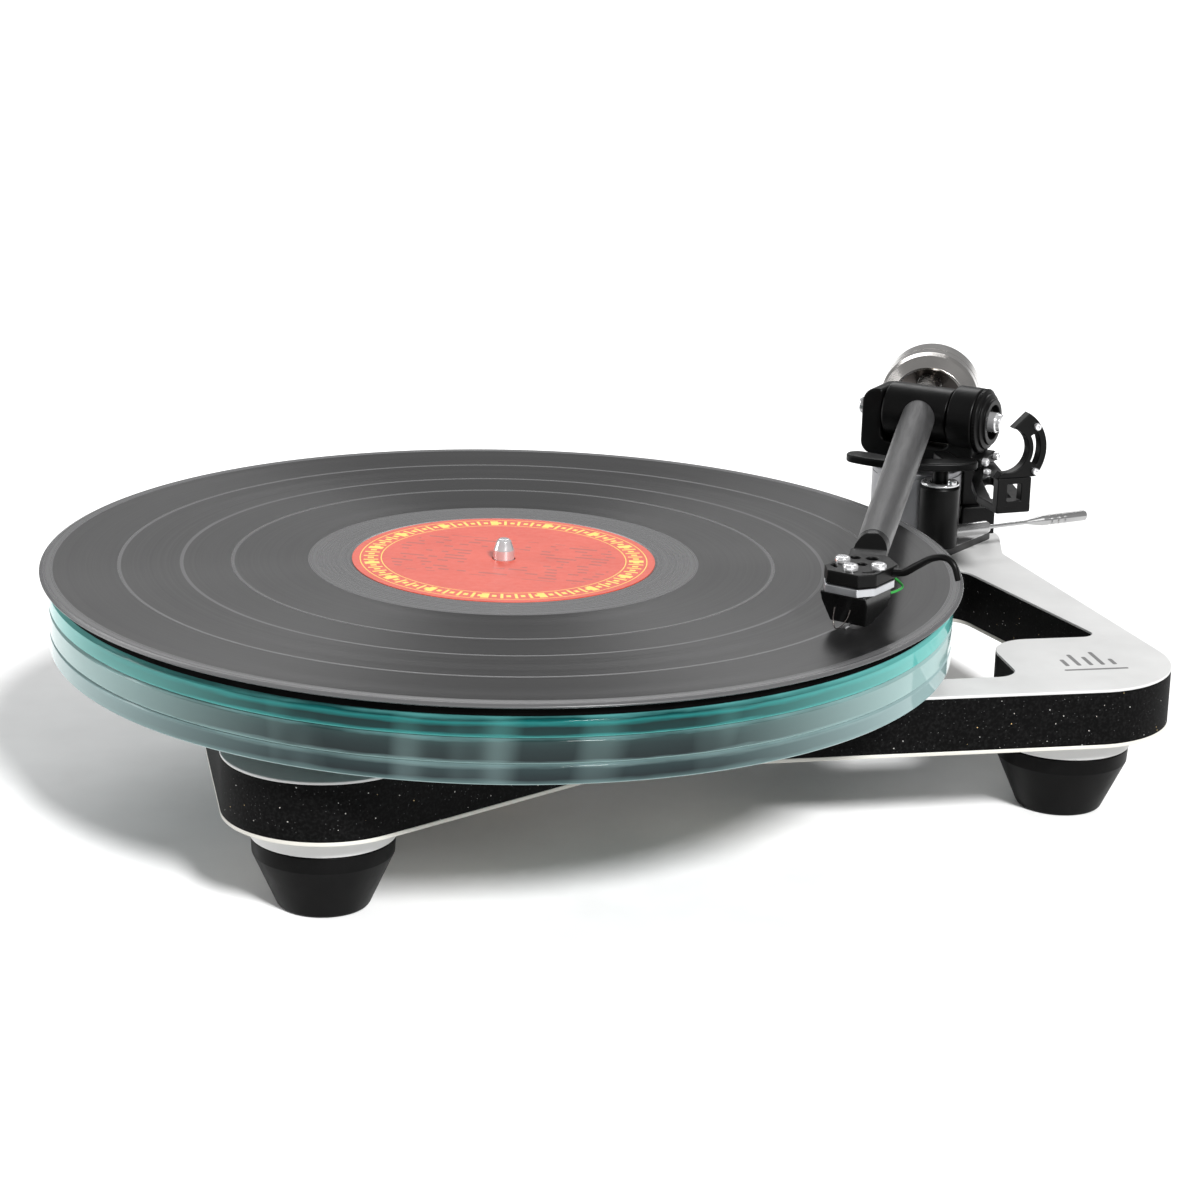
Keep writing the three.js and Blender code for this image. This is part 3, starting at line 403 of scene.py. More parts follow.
class Look:
    """A material with one Principled shader, its detail added node by node."""

    def __init__(self, name, color, roughness, metallic=0.0, **sockets):
        self.material = bpy.data.materials.new(name)
        self.material.use_nodes = True
        self.tree = self.material.node_tree
        self.shader = self.tree.nodes["Principled BSDF"]
        self.shader.inputs["Base Color"].default_value = (*color, 1)
        self.shader.inputs["Roughness"].default_value = roughness
        self.shader.inputs["Metallic"].default_value = metallic
        for socket, value in sockets.items():
            self.shader.inputs[socket.replace("_", " ")].default_value = value
        self.coords = self.tree.nodes.new("ShaderNodeTexCoord").outputs["Object"]

    def node(self, kind, **settings):
        made = self.tree.nodes.new(f"ShaderNode{kind}")
        for key, value in settings.items():
            setattr(made, key, value)
        return made

    def link(self, source, target):
        self.tree.links.new(source, target)

    def feed(self, sockets, *values):
        """Gives each socket its number, its colour or a link from another node's output."""
        for socket, value in zip(sockets, values):
            if isinstance(value, tuple):
                socket.default_value = (*value, 1)
            elif isinstance(value, (int, float)):
                socket.default_value = value
            else:
                self.link(value, socket)

    def math(self, operation, first, second=0.0, clamp=False):
        made = self.node("Math", operation=operation, use_clamp=clamp)
        self.feed(made.inputs, first, second)
        return made.outputs[0]

    def times(self, first, second):
        return self.math("MULTIPLY", first, second)

    def vector(self, x, y=0.0):
        made = self.node("CombineXYZ")
        self.feed(made.inputs, x, y)
        return made.outputs[0]

    def around(self, centre, scale=(1, 1, 1)):
        """Object coordinates measured from a point, in metres."""
        shift = self.node("Mapping")
        shift.inputs["Location"].default_value = [-c * s for c, s in zip(centre, scale)]
        shift.inputs["Scale"].default_value = scale
        self.link(self.coords, shift.inputs["Vector"])
        return shift.outputs["Vector"]

    def split(self, vector):
        parts = self.node("SeparateXYZ")
        self.link(vector, parts.inputs[0])
        return parts.outputs

    def on_record(self, scale=1):
        """X, Y and the radius from the spindle, in metres times the scale."""
        x, y, _ = self.split(self.around(DECK.translation, (scale, scale, scale)))
        return x, y, self.math("SQRT", self.math("ADD", self.times(x, x), self.times(y, y)))

    def noise(self, scale, detail=3.0, vector=None, roughness=0.5):
        made = self.node("TexNoise")
        made.inputs["Scale"].default_value = scale
        made.inputs["Detail"].default_value = detail
        made.inputs["Roughness"].default_value = roughness
        self.link(vector or self.coords, made.inputs["Vector"])
        return made.outputs["Fac"]

    def cells(self, scale, vector=None):
        made = self.node("TexVoronoi")
        made.inputs["Scale"].default_value = scale
        self.link(vector or self.coords, made.inputs["Vector"])
        return made.outputs

    def ramp(self, factor, *stops):
        made = self.node("ValToRGB")
        band = made.color_ramp
        while len(band.elements) < len(stops):
            band.elements.new(0.5)
        for element, (position, color) in zip(band.elements, stops):
            element.position = position
            element.color = (*color, 1)
        self.link(factor, made.inputs["Fac"])
        return made.outputs["Color"]

    def mix(self, factor, first, second):
        made = self.node("Mix", data_type="RGBA")
        self.feed((made.inputs["Factor"], made.inputs[6], made.inputs[7]), factor, first, second)
        return made.outputs[2]

    def span(self, value, low, high, to_low=0.0, to_high=1.0):
        made = self.node("MapRange")
        for key, number in zip((1, 2, 3, 4), (low, high, to_low, to_high)):
            made.inputs[key].default_value = number
        self.link(value, made.inputs[0])
        return made.outputs[0]

    def color_from(self, source):
        self.link(source, self.shader.inputs["Base Color"])

    def vary_roughness(self, factor, low, high):
        self.link(self.span(factor, 0.3, 0.7, low, high), self.shader.inputs["Roughness"])

    def bump(self, height, strength, distance):
        made = self.node("Bump")
        made.inputs["Strength"].default_value = strength
        made.inputs["Distance"].default_value = distance
        self.link(height, made.inputs["Height"])
        self.link(made.outputs["Normal"], self.shader.inputs["Normal"])


def plain(name, dark, light, roughness, metallic=0.0, grain=900, bump=0.05, **sockets):
    """A surface whose colour and roughness drift a little, with a fine grain."""
    look = Look(name, light, roughness, metallic, **sockets)
    drift = look.noise(35, 4)
    look.color_from(look.ramp(drift, (0.35, dark), (0.65, light)))
    look.vary_roughness(look.noise(120, 4), roughness * 0.85, roughness * 1.15)
    look.bump(look.noise(grain, 2), bump, 0.00005)
    return look.material


def speckled_core():
    look = Look("speckled_core", grey(0.004), 0.6, Specular_IOR_Level=0.06)
    ground = look.ramp(look.noise(1100, 3), (0.45, grey(0.001)), (0.75, grey(0.007)))
    colour = ground
    for scale, size, share, speck in (
        (900, 0.15, 0.6, grey(0.05)),
        (420, 0.085, 0.66, (0.45, 0.45, 0.43)),
        (260, 0.05, 0.7, (0.6, 0.45, 0.22)),
    ):
        cell = look.cells(scale)
        near = look.math("LESS_THAN", cell["Distance"], size)
        chosen = look.math("GREATER_THAN", look.split(cell["Color"])[0], share)
        colour = look.mix(look.times(near, chosen), colour, speck)
    look.color_from(colour)
    look.bump(look.noise(1500, 3), 0.25, 0.0001)
    return look.material


def glass(name, bottom, top, painted_reflection, *stops):
    """Thick glass seen at its edge: its teal tint runs from the layer's bottom to its top with painted
    highlight bands and painted shade between them, a painted reflection pales it at a slant, and painted
    gleams streak it upright.
    """
    coat = {"Coat_Weight": 0.1, "Coat_Roughness": 0.03}
    look = Look(name, stops[0][1], 0.06, IOR=1.5, Specular_IOR_Level=0.15, **coat)
    x, y, z = look.split(look.around(DECK.translation))
    height = look.span(z, bottom * MM, top * MM)
    angle = look.math("ARCTAN2", y, x)
    streaks = look.noise(5.5, 3, look.vector(angle, look.times(height, 0.35)), 0.6)
    wander = look.times(look.math("SUBTRACT", streaks, 0.5), 0.4)
    # The teal tint with painted light and shade: painted highlight bands near the layer's bottom and top and
    # painted shade between them, wandered a little by the noise.
    tint_and_painted_edge_light = look.ramp(look.math("ADD", height, wander, clamp=True), *stops)
    # A painted reflection: the colour pales where the face is seen at a slant.
    slant = look.node("LayerWeight")
    slant.inputs["Blend"].default_value = 0.5
    painted_slant_reflection = look.span(slant.outputs["Facing"], 0.16, 0.75)
    # Painted highlights: soft upright gleams fixed to the glass.
    painted_gleam_noise = look.noise(3.2, 1, look.vector(look.times(angle, 2.6), look.times(z, 3)))
    painted_gleam = look.span(painted_gleam_noise, 0.5, 0.75, 0, 0.2)
    look.color_from(look.mix(look.math("MAXIMUM", painted_slant_reflection, painted_gleam), tint_and_painted_edge_light, painted_reflection))
    look.vary_roughness(look.noise(60, 2), 0.04, 0.1)
    return look.material


def grooved_vinyl():
    look = Look("grooved_vinyl", (0.02, 0.02, 0.021), 0.32, Anisotropic=0.85, Specular_IOR_Level=0.34)
    rings = look.vector(look.on_record()[2])
    loudness = look.noise(900, 5, rings, 0.7)
    broad = look.noise(160, 3, rings, 0.6)
    tone = look.math("ADD", look.times(loudness, 0.5), look.times(broad, 0.5))
    look.color_from(look.ramp(tone, (0.35, grey(0.003)), (0.65, (0.016, 0.016, 0.0165))))
    look.link(look.span(tone, 0.35, 0.65, 0.27, 0.4), look.shader.inputs["Roughness"])
    tangent = look.node("Tangent", direction_type="RADIAL", axis="Z")
    look.link(tangent.outputs[0], look.shader.inputs["Tangent"])
    return look.material


def smooth_vinyl_painted_sheen():
    """The record's rim, dead wax and the gaps between tracks, in black vinyl painted grey: a painted sheen
    for the light these smooth places reflect.
    """
    look = Look("smooth_vinyl_painted_sheen", (0.085, 0.085, 0.087), 0.3)
    rings = look.vector(look.on_record()[2])
    drift = look.noise(700, 2, rings)
    look.color_from(look.ramp(drift, (0.3, (0.075, 0.075, 0.077)), (0.7, (0.09, 0.09, 0.092))))
    look.vary_roughness(drift, 0.25, 0.3)
    return look.material


def printed_label():
    """Orange paper with a yellow ring of plain ornaments and grey bars where the text would be."""
    look = Look("printed_label", (0.75, 0.09, 0.04), 0.45)
    x, y, radius = look.on_record(1 / MM)
    turns = look.math("DIVIDE", look.math("ARCTAN2", y, x), TAU)

    def within_band(value, centre, half):
        return look.math("LESS_THAN", look.math("ABSOLUTE", look.math("SUBTRACT", value, centre)), half)

    def repeated(count, centre, half):
        return within_band(look.math("FRACT", look.times(turns, count)), centre, half)

    paper = look.ramp(look.noise(70, 4), (0.3, (0.5, 0.058, 0.03)), (0.7, (0.56, 0.075, 0.042)))
    yellow = (0.82, 0.55, 0.1)
    ink = (0.23, 0.06, 0.045)
    band = within_band(radius, 43.7, 2.4)
    posts = look.times(band, repeated(60, 0.25, 0.1))
    beads = look.times(within_band(radius, 43.7, 1.0), repeated(60, 0.72, 0.16))
    pairs = look.times(band, repeated(15, 0.5, 0.05))
    marks = look.math("MAXIMUM", look.math("MAXIMUM", posts, beads), pairs)
    thin = look.math("MAXIMUM", within_band(radius, 40.3, 0.16), within_band(radius, 47.2, 0.16))
    colour = look.mix(look.math("MAXIMUM", marks, thin), paper, yellow)

    sway = look.math("ADD", look.times(x, 0.42), look.times(y, 0.91))
    across = look.math("ADD", look.times(x, 0.91), look.times(y, -0.42))
    row = look.math("DIVIDE", sway, 3.4)
    in_row = within_band(look.math("FRACT", row), 0.5, 0.2)
    words = look.vector(look.math("DIVIDE", across, 5.5), look.times(look.math("FLOOR", row), 7.3))
    printed = look.math("GREATER_THAN", look.noise(1.0, 0, words), 0.52)
    area = look.times(within_band(radius, 24.5, 12.5), within_band(sway, 0, 22))
    bars = look.times(look.times(in_row, printed), area)
    look.color_from(look.mix(look.times(bars, 0.6), colour, ink))
    look.vary_roughness(look.noise(400, 3), 0.38, 0.5)
    look.bump(look.noise(2500, 3), 0.05, 0.00003)
    return look.material


def turned_metal(name, color, roughness, node, axis):
    """Metal with the fine rings that a lathe leaves round an axis through the node's middle."""
    look = Look(name, color, roughness, 1.0)
    along = None
    for part, share in zip(look.split(look.around(middle(node))), Vector(axis)):
        if abs(share) > 1e-6:
            term = look.times(part, share)
            along = term if along is None else look.math("ADD", along, term)
    fine = look.noise(5200, 2, look.vector(along), 0.7)
    look.link(look.span(fine, 0.3, 0.7, roughness * 0.7, roughness * 1.35), look.shader.inputs["Roughness"])
    dark = tuple(0.86 * c for c in color)
    look.color_from(look.ramp(look.noise(70, 3), (0.3, dark), (0.7, color)))
    look.bump(fine, 0.05, 0.00002)
    return look.material


def polished(name, dark, light, roughness, metallic=1.0):
    look = Look(name, light, roughness, metallic)
    look.color_from(look.ramp(look.noise(50, 3), (0.3, dark), (0.7, light)))
    look.vary_roughness(look.noise(500, 5), roughness * 0.7, roughness * 1.4)
    return look.material


def arm_metal():
    """The arm tube's satin coat: dark grey with a faint drawn grain along the tube."""
    look = Look("arm_satin", (0.05, 0.05, 0.051), 0.4, 0.35)
    turn = look.node("Mapping", vector_type="TEXTURE")
    turn.inputs["Rotation"].default_value = (0, 0, math.radians(ARM_DIRECTION))
    turn.inputs["Scale"].default_value = (12, 1, 1)
    look.link(look.coords, turn.inputs["Vector"])
    grain = look.noise(900, 3, turn.outputs[0])
    look.color_from(look.ramp(grain, (0.3, (0.042, 0.042, 0.043)), (0.7, (0.066, 0.066, 0.067))))
    look.vary_roughness(grain, 0.34, 0.46)
    look.bump(look.noise(1600, 2), 0.06, 0.00004)
    return look.material


ALONG_ARM = (math.cos(math.radians(ARM_DIRECTION)), math.sin(math.radians(ARM_DIRECTION)), 0)

LOOKS = {
    "laminate": plain("white_laminate", (0.53, 0.53, 0.525), (0.585, 0.585, 0.58), 0.34, bump=0.04),
    "cream": plain("cream_edge", (0.5, 0.485, 0.44), (0.57, 0.555, 0.51), 0.4),
    "core": speckled_core(),
    "brace": plain("brace_grey", grey(0.5), grey(0.58), 0.3),
    "brace_edge": plain("brace_edge", grey(0.02), grey(0.035), 0.5),
    "rubber": plain("foot_rubber", grey(0.001), grey(0.003), 0.45, 0, 1400, 0.12, Specular_IOR_Level=0.08),
    "felt": plain("mat_felt", grey(0.0006), grey(0.002), 0.95, 0, 2600, 0.5, Specular_IOR_Level=0.05),
    "black": plain("black_moulding", grey(0.002), grey(0.004), 0.36, bump=0.1, Specular_IOR_Level=0.13),
    "black_gloss": plain("black_gloss", grey(0.003), grey(0.006), 0.22, bump=0.02),
    "arm": arm_metal(),
    "motor": plain("motor_paint", (0.02, 0.02, 0.022), (0.03, 0.03, 0.033), 0.45, 0.5),
    "aluminium": plain("aluminium", (0.5, 0.51, 0.53), (0.6, 0.61, 0.63), 0.35, 1.0, grain=1500, bump=0.08),
    "pillar": plain("pillar_grey", (0.2, 0.2, 0.21), (0.26, 0.26, 0.27), 0.38, 0.8),
    "lever": plain("lever_satin", grey(0.36), grey(0.44), 0.25, 0.9),
    "brass": plain("bearing_brass", (0.5, 0.33, 0.12), (0.6, 0.41, 0.16), 0.3, 1.0),
    "chrome": polished("chrome", (0.72, 0.72, 0.73), (0.82, 0.82, 0.83), 0.14, 0.7),
    "shaft": polished("shaft_grey", (0.1, 0.095, 0.09), (0.14, 0.13, 0.12), 0.25),
    "steel": turned_metal("turned_steel", (0.62, 0.6, 0.58), 0.2, "counterweight", ALONG_ARM),
    "dark_steel": turned_metal("dark_turned_steel", (0.1, 0.09, 0.085), 0.22, "counterweight", ALONG_ARM),
    "vinyl": grooved_vinyl(),
    "smooth_vinyl_painted_sheen": smooth_vinyl_painted_sheen(),
    "label": printed_label(),
    "print": plain("grey_print", grey(0.12), grey(0.16), 0.5),
    "red": plain("red_tag", (0.4, 0.015, 0.015), (0.5, 0.02, 0.02), 0.4),
    "green": plain("green_tag", (0.015, 0.2, 0.03), (0.02, 0.26, 0.04), 0.4),
    "blue": plain("blue_tag", (0.03, 0.09, 0.4), (0.04, 0.12, 0.5), 0.4),
    "white": plain("white_tag", (0.6, 0.6, 0.58), (0.7, 0.7, 0.68), 0.4),
}


# ------------ plinth

PLINTH_BOTTOM = 30.0
CORE_BOTTOM = 31.4
CORE_TOP = 49.4
PLINTH_TOP = 50.4
BRACE_TOP = 53.4
MOTOR_PLACE = (-68, -12)
SPINDLE_HOLE = 3.8
HUB_HOLE = 11.5
PIVOT_HOLE = 8.6

PLINTH_CORNERS = [
    (-100, -133.6, 31.5), (34, -56.2, 30), (229.7, -56.2, 35), (211.2, 107, 8), (218, 131, 20),
    (218, 167, 32), (36.6, 167, 31.5), (-100, -7.9, 45),
]
FRONT_OPENING = [
    (85, -38.2, 12), (168.2, -38.2, 8), (168.6, 1.2, 15), (210.6, 1.2, 5), (186.4, 97.5, 12),
    (72.8, 18.1, 12),
]
REAR_OPENING = [(45, 64.5, 6), (148, 136.6, 8), (88, 136.6, 8)]
BRACE_CORNERS = [
    (-8.7, -32.9, 20), (181.7, 97.9, 40), (214, 128, 5), (203, 158, 8), (147, 130, 25), (-33.9, 3.1, 20),
]
FOOT_PLACES = {"front_left": (-68.5, -79), "front_right": (189.5, -25), "rear": (52, 135.5)}


def build_plinth():
    pivot = DECK.inverted() @ PIVOT

    def layer(bottom, top, bevel):
        holes = [
            rounded(FRONT_OPENING, steps=12),
            rounded(REAR_OPENING, steps=12),
            circle(0, 0, HUB_HOLE),
            circle(*MOTOR_PLACE, 6, 32),
            circle(pivot.x, pivot.y, PIVOT_HOLE, 40),
        ]
        return slab(rounded(PLINTH_CORNERS, steps=20), bottom, top, bevel, holes)

    core = layer(CORE_BOTTOM, CORE_TOP, 0.05)
    piece("core", core, DECK, "core", "plinth", "core", "plinth_core")
    top = layer(CORE_TOP + 0.02, PLINTH_TOP, 0.3)
    piece("top_skin", top, DECK, "laminate", "plinth", "laminate", "top_laminate")
    bottom = layer(PLINTH_BOTTOM, CORE_BOTTOM - 0.02, 0.3)
    piece("bottom_skin", bottom, DECK, "cream", "plinth", "laminate", "bottom_laminate")
    for name, node, low, high, hub in (
        ("upper_brace", "top_brace", PLINTH_TOP + 0.02, BRACE_TOP, 16.3),
        ("lower_brace", "bottom_brace", PLINTH_BOTTOM - 3, PLINTH_BOTTOM - 0.02, HUB_HOLE),
    ):
        holes = [circle(0, 0, hub), circle(pivot.x, pivot.y, PIVOT_HOLE, 40)]
        mesh = slab(rounded(BRACE_CORNERS, steps=12), low, high, 0.25, holes)
        for face in mesh.faces:
            if abs(face.normal.z) < 0.5:
                face.material_index = 1
        looks = ("brace", "brace_edge")
        piece(name, mesh, DECK, looks, "plinth", "brace", node)


def build_corner_mark():
    """A plain grey print on the front right corner: five upright bars over a line."""
    top = PLINTH_TOP + 0.04
    bars = []
    for k, height in enumerate((7, 12, 9, 14, 6)):
        x = 187 + 4.2 * k
        bars.append(slab(box_outline(x, x + 1.5, -30, -30 + height, 0.6, 3), top - 0.05, top))
    bars.append(slab(box_outline(185, 207.5, -35, -33.6, 0.5, 3), top - 0.05, top))
    piece("corner_mark", together(*bars), DECK, "print", "plinth", "laminate")


def build_feet():
    foot = [(0, 0), (14.2, 0, 1.6), (22.0, 17.4, 0.8), (22.3, 22.7, 0.6), (0, 22.7)]
    for name, (x, y) in FOOT_PLACES.items():
        place = within(DECK, x, y)
        piece(f"rubber_foot_{name}", lathe(foot), place, "rubber", "plinth", "rubber", f"foot_{name}")
        boss = lathe(disc_profile(22.8, 22.9, PLINTH_BOTTOM - 0.05, 0.5))
        piece(f"boss_{name}", boss, place, "laminate", "plinth", "laminate", f"foot_boss_{name}")


def build_bearing_and_drive():
    housing = lathe([
        (0, 16), (11, 16, 1), (11, 50.7), (16, 50.7, 0.3), (16, 54.3, 0.5), (5.5, 54.3, 0.3), (5.5, 19),
        (0, 19),
    ])
    piece("bearing_shell", housing, DECK, "brass", "plinth", "brass", "bearing_housing")
    nut = slab(circle(0, 0, 17, 6), 19.7, 26.7, 0.8, [circle(0, 0, 11.3)])
    piece("bearing_locknut", nut, DECK, "aluminium", "plinth", "steel", "bearing_nut")

    motor = within(DECK, *MOTOR_PLACE)
    can = lathe([(0, 10), (22, 10, 2), (22, 28.1, 0.6), (1.5, 28.1), (1.5, 54.3), (0, 54.3)])
    vent = circle(15, 0, 1.6, 16)
    vents = [moved(slab(vent, 9.5, 11.5), turned(TAU * k / 8, "Z")) for k in range(8)]
    piece("motor_can", carved(can, *vents), motor, "motor", "plinth", "motor_can", "motor_body")
    screws = [circle(*round_point(0, 0, 25, 0.5 + k * TAU / 3), 1.4, 20) for k in range(3)]
    mount = slab(circle(0, 0, 28, 96), 28.4, 29.7, 0.3, [circle(0, 0, 4), *screws])
    piece("motor_plate", mount, motor, "aluminium", "plinth", "aluminium", "motor_mount")
    pulley = lathe([
        (0, 54.6), (8.6, 54.6, 0.2), (8.6, 55.3, 0.1), (7.2, 55.6, 0.2), (7.2, 58.6, 0.2), (8.6, 58.9, 0.1),
        (8.6, 59.6, 0.2), (0, 59.6),
    ])
    piece("pulley", pulley, motor, "aluminium", "motor_pulley", "aluminium", "motor_pulley")

    socket = lathe([
        (0, 21.7), (4.2, 21.7, 0.4), (4.2, 17.9), (8.5, 17.7, 0.5), (8.5, 26.6, 0.3), (12, 26.8, 0.4),
        (12, 29.7), (0, 29.7),
    ])
    piece("power_inlet", socket, within(DECK, 0, 96), "black", "plinth", "black_plastic", "power_socket")


# ------------ platter and record

GLASS_RADIUS = 148
# Each layer: bottom, top, chamfer, the colour of its painted slant reflection, and height stops that give its
# teal tint with painted highlight bands and painted shade between them.
GLASS = {
    "bottom": (60.2, 66.4, 0.6, (0.26, 0.37, 0.37), (
        (0.0, (0.07, 0.12, 0.12)), (0.3, (0.008, 0.014, 0.016)), (0.75, (0.014, 0.027, 0.029)),
        (1.0, (0.09, 0.14, 0.14)),
    )),
    "middle": (66.5, 74.3, 0.9, (0.3, 0.44, 0.43), (
        (0.0, (0.1, 0.16, 0.16)), (0.16, (0.008, 0.014, 0.015)), (0.6, (0.012, 0.022, 0.023)),
        (0.86, (0.016, 0.034, 0.034)), (1.0, (0.07, 0.14, 0.14)),
    )),
    "top": (74.4, 80.8, 1.25, (0.12, 0.42, 0.39), (
        (0.0, (0.02, 0.2, 0.19)), (0.2, (0.002, 0.022, 0.022)), (0.5, (0.002, 0.016, 0.016)),
        (0.7, (0.004, 0.12, 0.115)), (0.84, (0.003, 0.03, 0.03)), (1.0, (0.05, 0.18, 0.175)),
    )),
}


def build_platter():
    sub = lathe([
        (SPINDLE_HOLE, 57), (SPINDLE_HOLE, 54.6, 0.3), (12, 54.6, 0.3), (12, 57.7), (46, 57.7),
        (46, 54.6, 0.3), (54, 54.6, 0.4), (54, 59.9, 0.4), (SPINDLE_HOLE, 59.9, 0.3), (SPINDLE_HOLE, 57),
    ], 128)
    piece("belt_wheel", sub, DECK, "aluminium", "platter", "aluminium", "sub_platter")
    for name, (bottom, top, chamfer, painted_reflection, stops) in GLASS.items():
        half_way = (SPINDLE_HOLE, (bottom + top) / 2)
        edge = [
            half_way,
            (SPINDLE_HOLE, bottom),
            (GLASS_RADIUS - 0.45, bottom, 0.15),
            (GLASS_RADIUS, bottom + 0.45, 0.15),
            (GLASS_RADIUS, top - chamfer, 0.3),
            (GLASS_RADIUS - chamfer, top, 0.3),
            (SPINDLE_HOLE, top),
            half_way,
        ]
        look = f"glass_{name}"
        LOOKS[look] = glass(look, bottom, top, painted_reflection, *stops)
        slot = "glass_upper" if name == "top" else "glass_lower"
        piece(look, lathe(edge, 256), DECK, look, "platter", slot, f"glass_layer_{name}")
    mat = lathe(ring_profile(SPINDLE_HOLE, 147.5, 80.9, 83.7, 0.5), 192)
    piece("mat", mat, DECK, "felt", "platter", "felt", "platter_mat")


def build_record():
    top = RECORD_TOP
    gaps = (125.2, 105.1, 88.6)
    rim = [
        (146.4, top - 0.02), (147.2, top + 0.0), (149.6, top - 0.05, 0.4), (150.8, top - 0.55, 0.3),
        (150.8, top - 0.95, 0.3), (149.6, top - 1.6, 0.5), (SPINDLE_HOLE, top - 1.6),
    ]
    label_edge = [(49.6, top - 0.4), (50.6, top - 0.05, 0.2), (63.6, top - 0.05)]
    music = []
    inner = 64.2
    for gap in sorted(gaps):
        low = top - 0.09
        music += [(inner, top - 0.03), (gap - 0.7, top - 0.03), (gap - 0.5, low), (gap + 0.5, low)]
        inner = gap + 0.7
    music += [(inner, top - 0.03), (145.8, top - 0.03)]
    hole = (SPINDLE_HOLE, top - 1)
    mesh = lathe([hole, (SPINDLE_HOLE, top - 0.4), *label_edge, *music, *rim, hole], 256)
    # The rim, dead wax and track gaps take the vinyl with the painted sheen.
    bands = [(49, 63.9)] + [(gap - 0.6, gap + 0.6) for gap in gaps] + [(146.1, 160)]
    for face in mesh.faces:
        reach = Vector(face.calc_center_median().xy).length
        if any(low < reach < high for low, high in bands):
            face.material_index = 1
    piece("record", mesh, DECK, ("vinyl", "smooth_vinyl_painted_sheen"), "platter", "vinyl", "record_disc", sharp=50)
    label = lathe(ring_profile(SPINDLE_HOLE, 49.9, top - 0.35, top, 0.1), 128)
    piece("label", label, DECK, "label", "platter", "label_paper", "record_label")
    spindle = lathe([
        (0, 24.6), (5, 24.6, 0.6), (5, 54.3, 0.2), (3.5, 54.3), (3.5, 88.3), (3.3, 88.7), (2.35, 91.4, 0.5),
        (1.6, 92.1, 0.3), (0, 92.1),
    ], 64)
    piece("spindle", spindle, DECK, "chrome", "platter", "chrome", "spindle_shaft")


# ------------ arm mounting, lift and rest

ARM_BASE_TOP = 57.4
REST_BLOCK_TOP = 64.4
LIFT_BAR_BOTTOM = 88.8
LIFT_BAR_TOP = 91.8
LEVER_HEIGHT = 60.6
BRACKET_BOTTOM = 80.4
BRACKET_TOP = 83.4
CLIP_REACH = 71
CLIP_DEPTH = 4
CLIP_HEIGHT = ARM_AXIS - 0.3
CLIP_BOTTOM = CLIP_HEIGHT - 10.1
CLIP_INNER, CLIP_OUTER = 8.2, 15.4
LIFT_BAR_RADII = (34.5, 43.5)
LIFT_BAR_ANGLES = (-142, -81)


def screw_head(radius, height, socket, depth=0.8, segments=40):
    """A socket screw's head standing on Z 0, with a hexagonal recess."""
    head = lathe([(0, 0), (radius, 0), (radius, height, 0.35 * radius), (0, height)], segments)
    return carved(head, slab(circle(0, 0, socket, 6), height - depth, height + 1))


def bolt(name, size, matrix, place, body, *nodes):
    """A chrome screw head of that radius, height and socket, moved by the matrix."""
    piece(name, moved(screw_head(*size), matrix), place, "chrome", body, "chrome", *nodes)


def build_arm_mounting():
    base = together(
        slab(circle(0, 0, 17.5, 96), 53.7, ARM_BASE_TOP, 0.5),
        slab(box_outline(13, 31, -4.3, 8.7, 0.6), 53.7, ARM_BASE_TOP, 0.3),
        slab(box_outline(17.6, 31, -4.3, 8.7, 0.8), 56.9, REST_BLOCK_TOP, 0.5),
        lathe([(0, 19), (8, 19, 0.4), (8, 54), (0, 54)], 64),
    )
    piece("arm_socket", base, ARM_MOUNT, "black", "plinth", "black_plastic", "arm_base")
    pillar = lathe([
        (0, 57.7), (17, 57.7, 0.4), (17, 78.6, 0.2), (16.7, 78.8), (16.7, 79.2), (17, 79.4, 0.2),
        (17, 81, 0.6), (0, 81),
    ])
    piece("pillar", pillar, ARM_MOUNT, "pillar", "plinth", "pillar_metal", "arm_pillar")
    nut = slab(circle(0, 0, 14, 6), 21.7, 26.7, 0.7, [circle(0, 0, 8.3)])
    piece("arm_nut", nut, ARM_MOUNT, "aluminium", "plinth", "steel", "arm_lock_nut")
    ribs = [(0, 9), (2.6, 9, 0.4)]
    for k in range(4):
        z = 10 + k
        flare = 0.35 * k
        ribs += [(3.0 + flare, z), (3.0 + flare, z + 0.6), (2.7 + flare, z + 0.8)]
    gland = lathe(ribs + [(4.4, 14.2), (4.4, 18.7, 0.3), (0, 18.7)], 48)
    piece("lead_gland", gland, ARM_MOUNT, "rubber", "plinth", "rubber", "signal_lead_gland")
    slider = slab(box_outline(27.2, 29.8, -1.5, 2.5, 0.3), REST_BLOCK_TOP + 0.1, REST_BLOCK_TOP + 4, 0.3)
    piece("bias_knob", slider, ARM_MOUNT, "chrome", "bias_slider", "chrome", "bias_slider")


def upright(mesh, depth):
    """Stands a slab drawn in X and Z, and as thick as given, on edge, centred on Y 0."""
    turn = Matrix(((1, 0, 0, 0), (0, 0, -1, depth / 2), (0, 1, 0, 0), (0, 0, 0, 1)))
    return moved(mesh, turn)


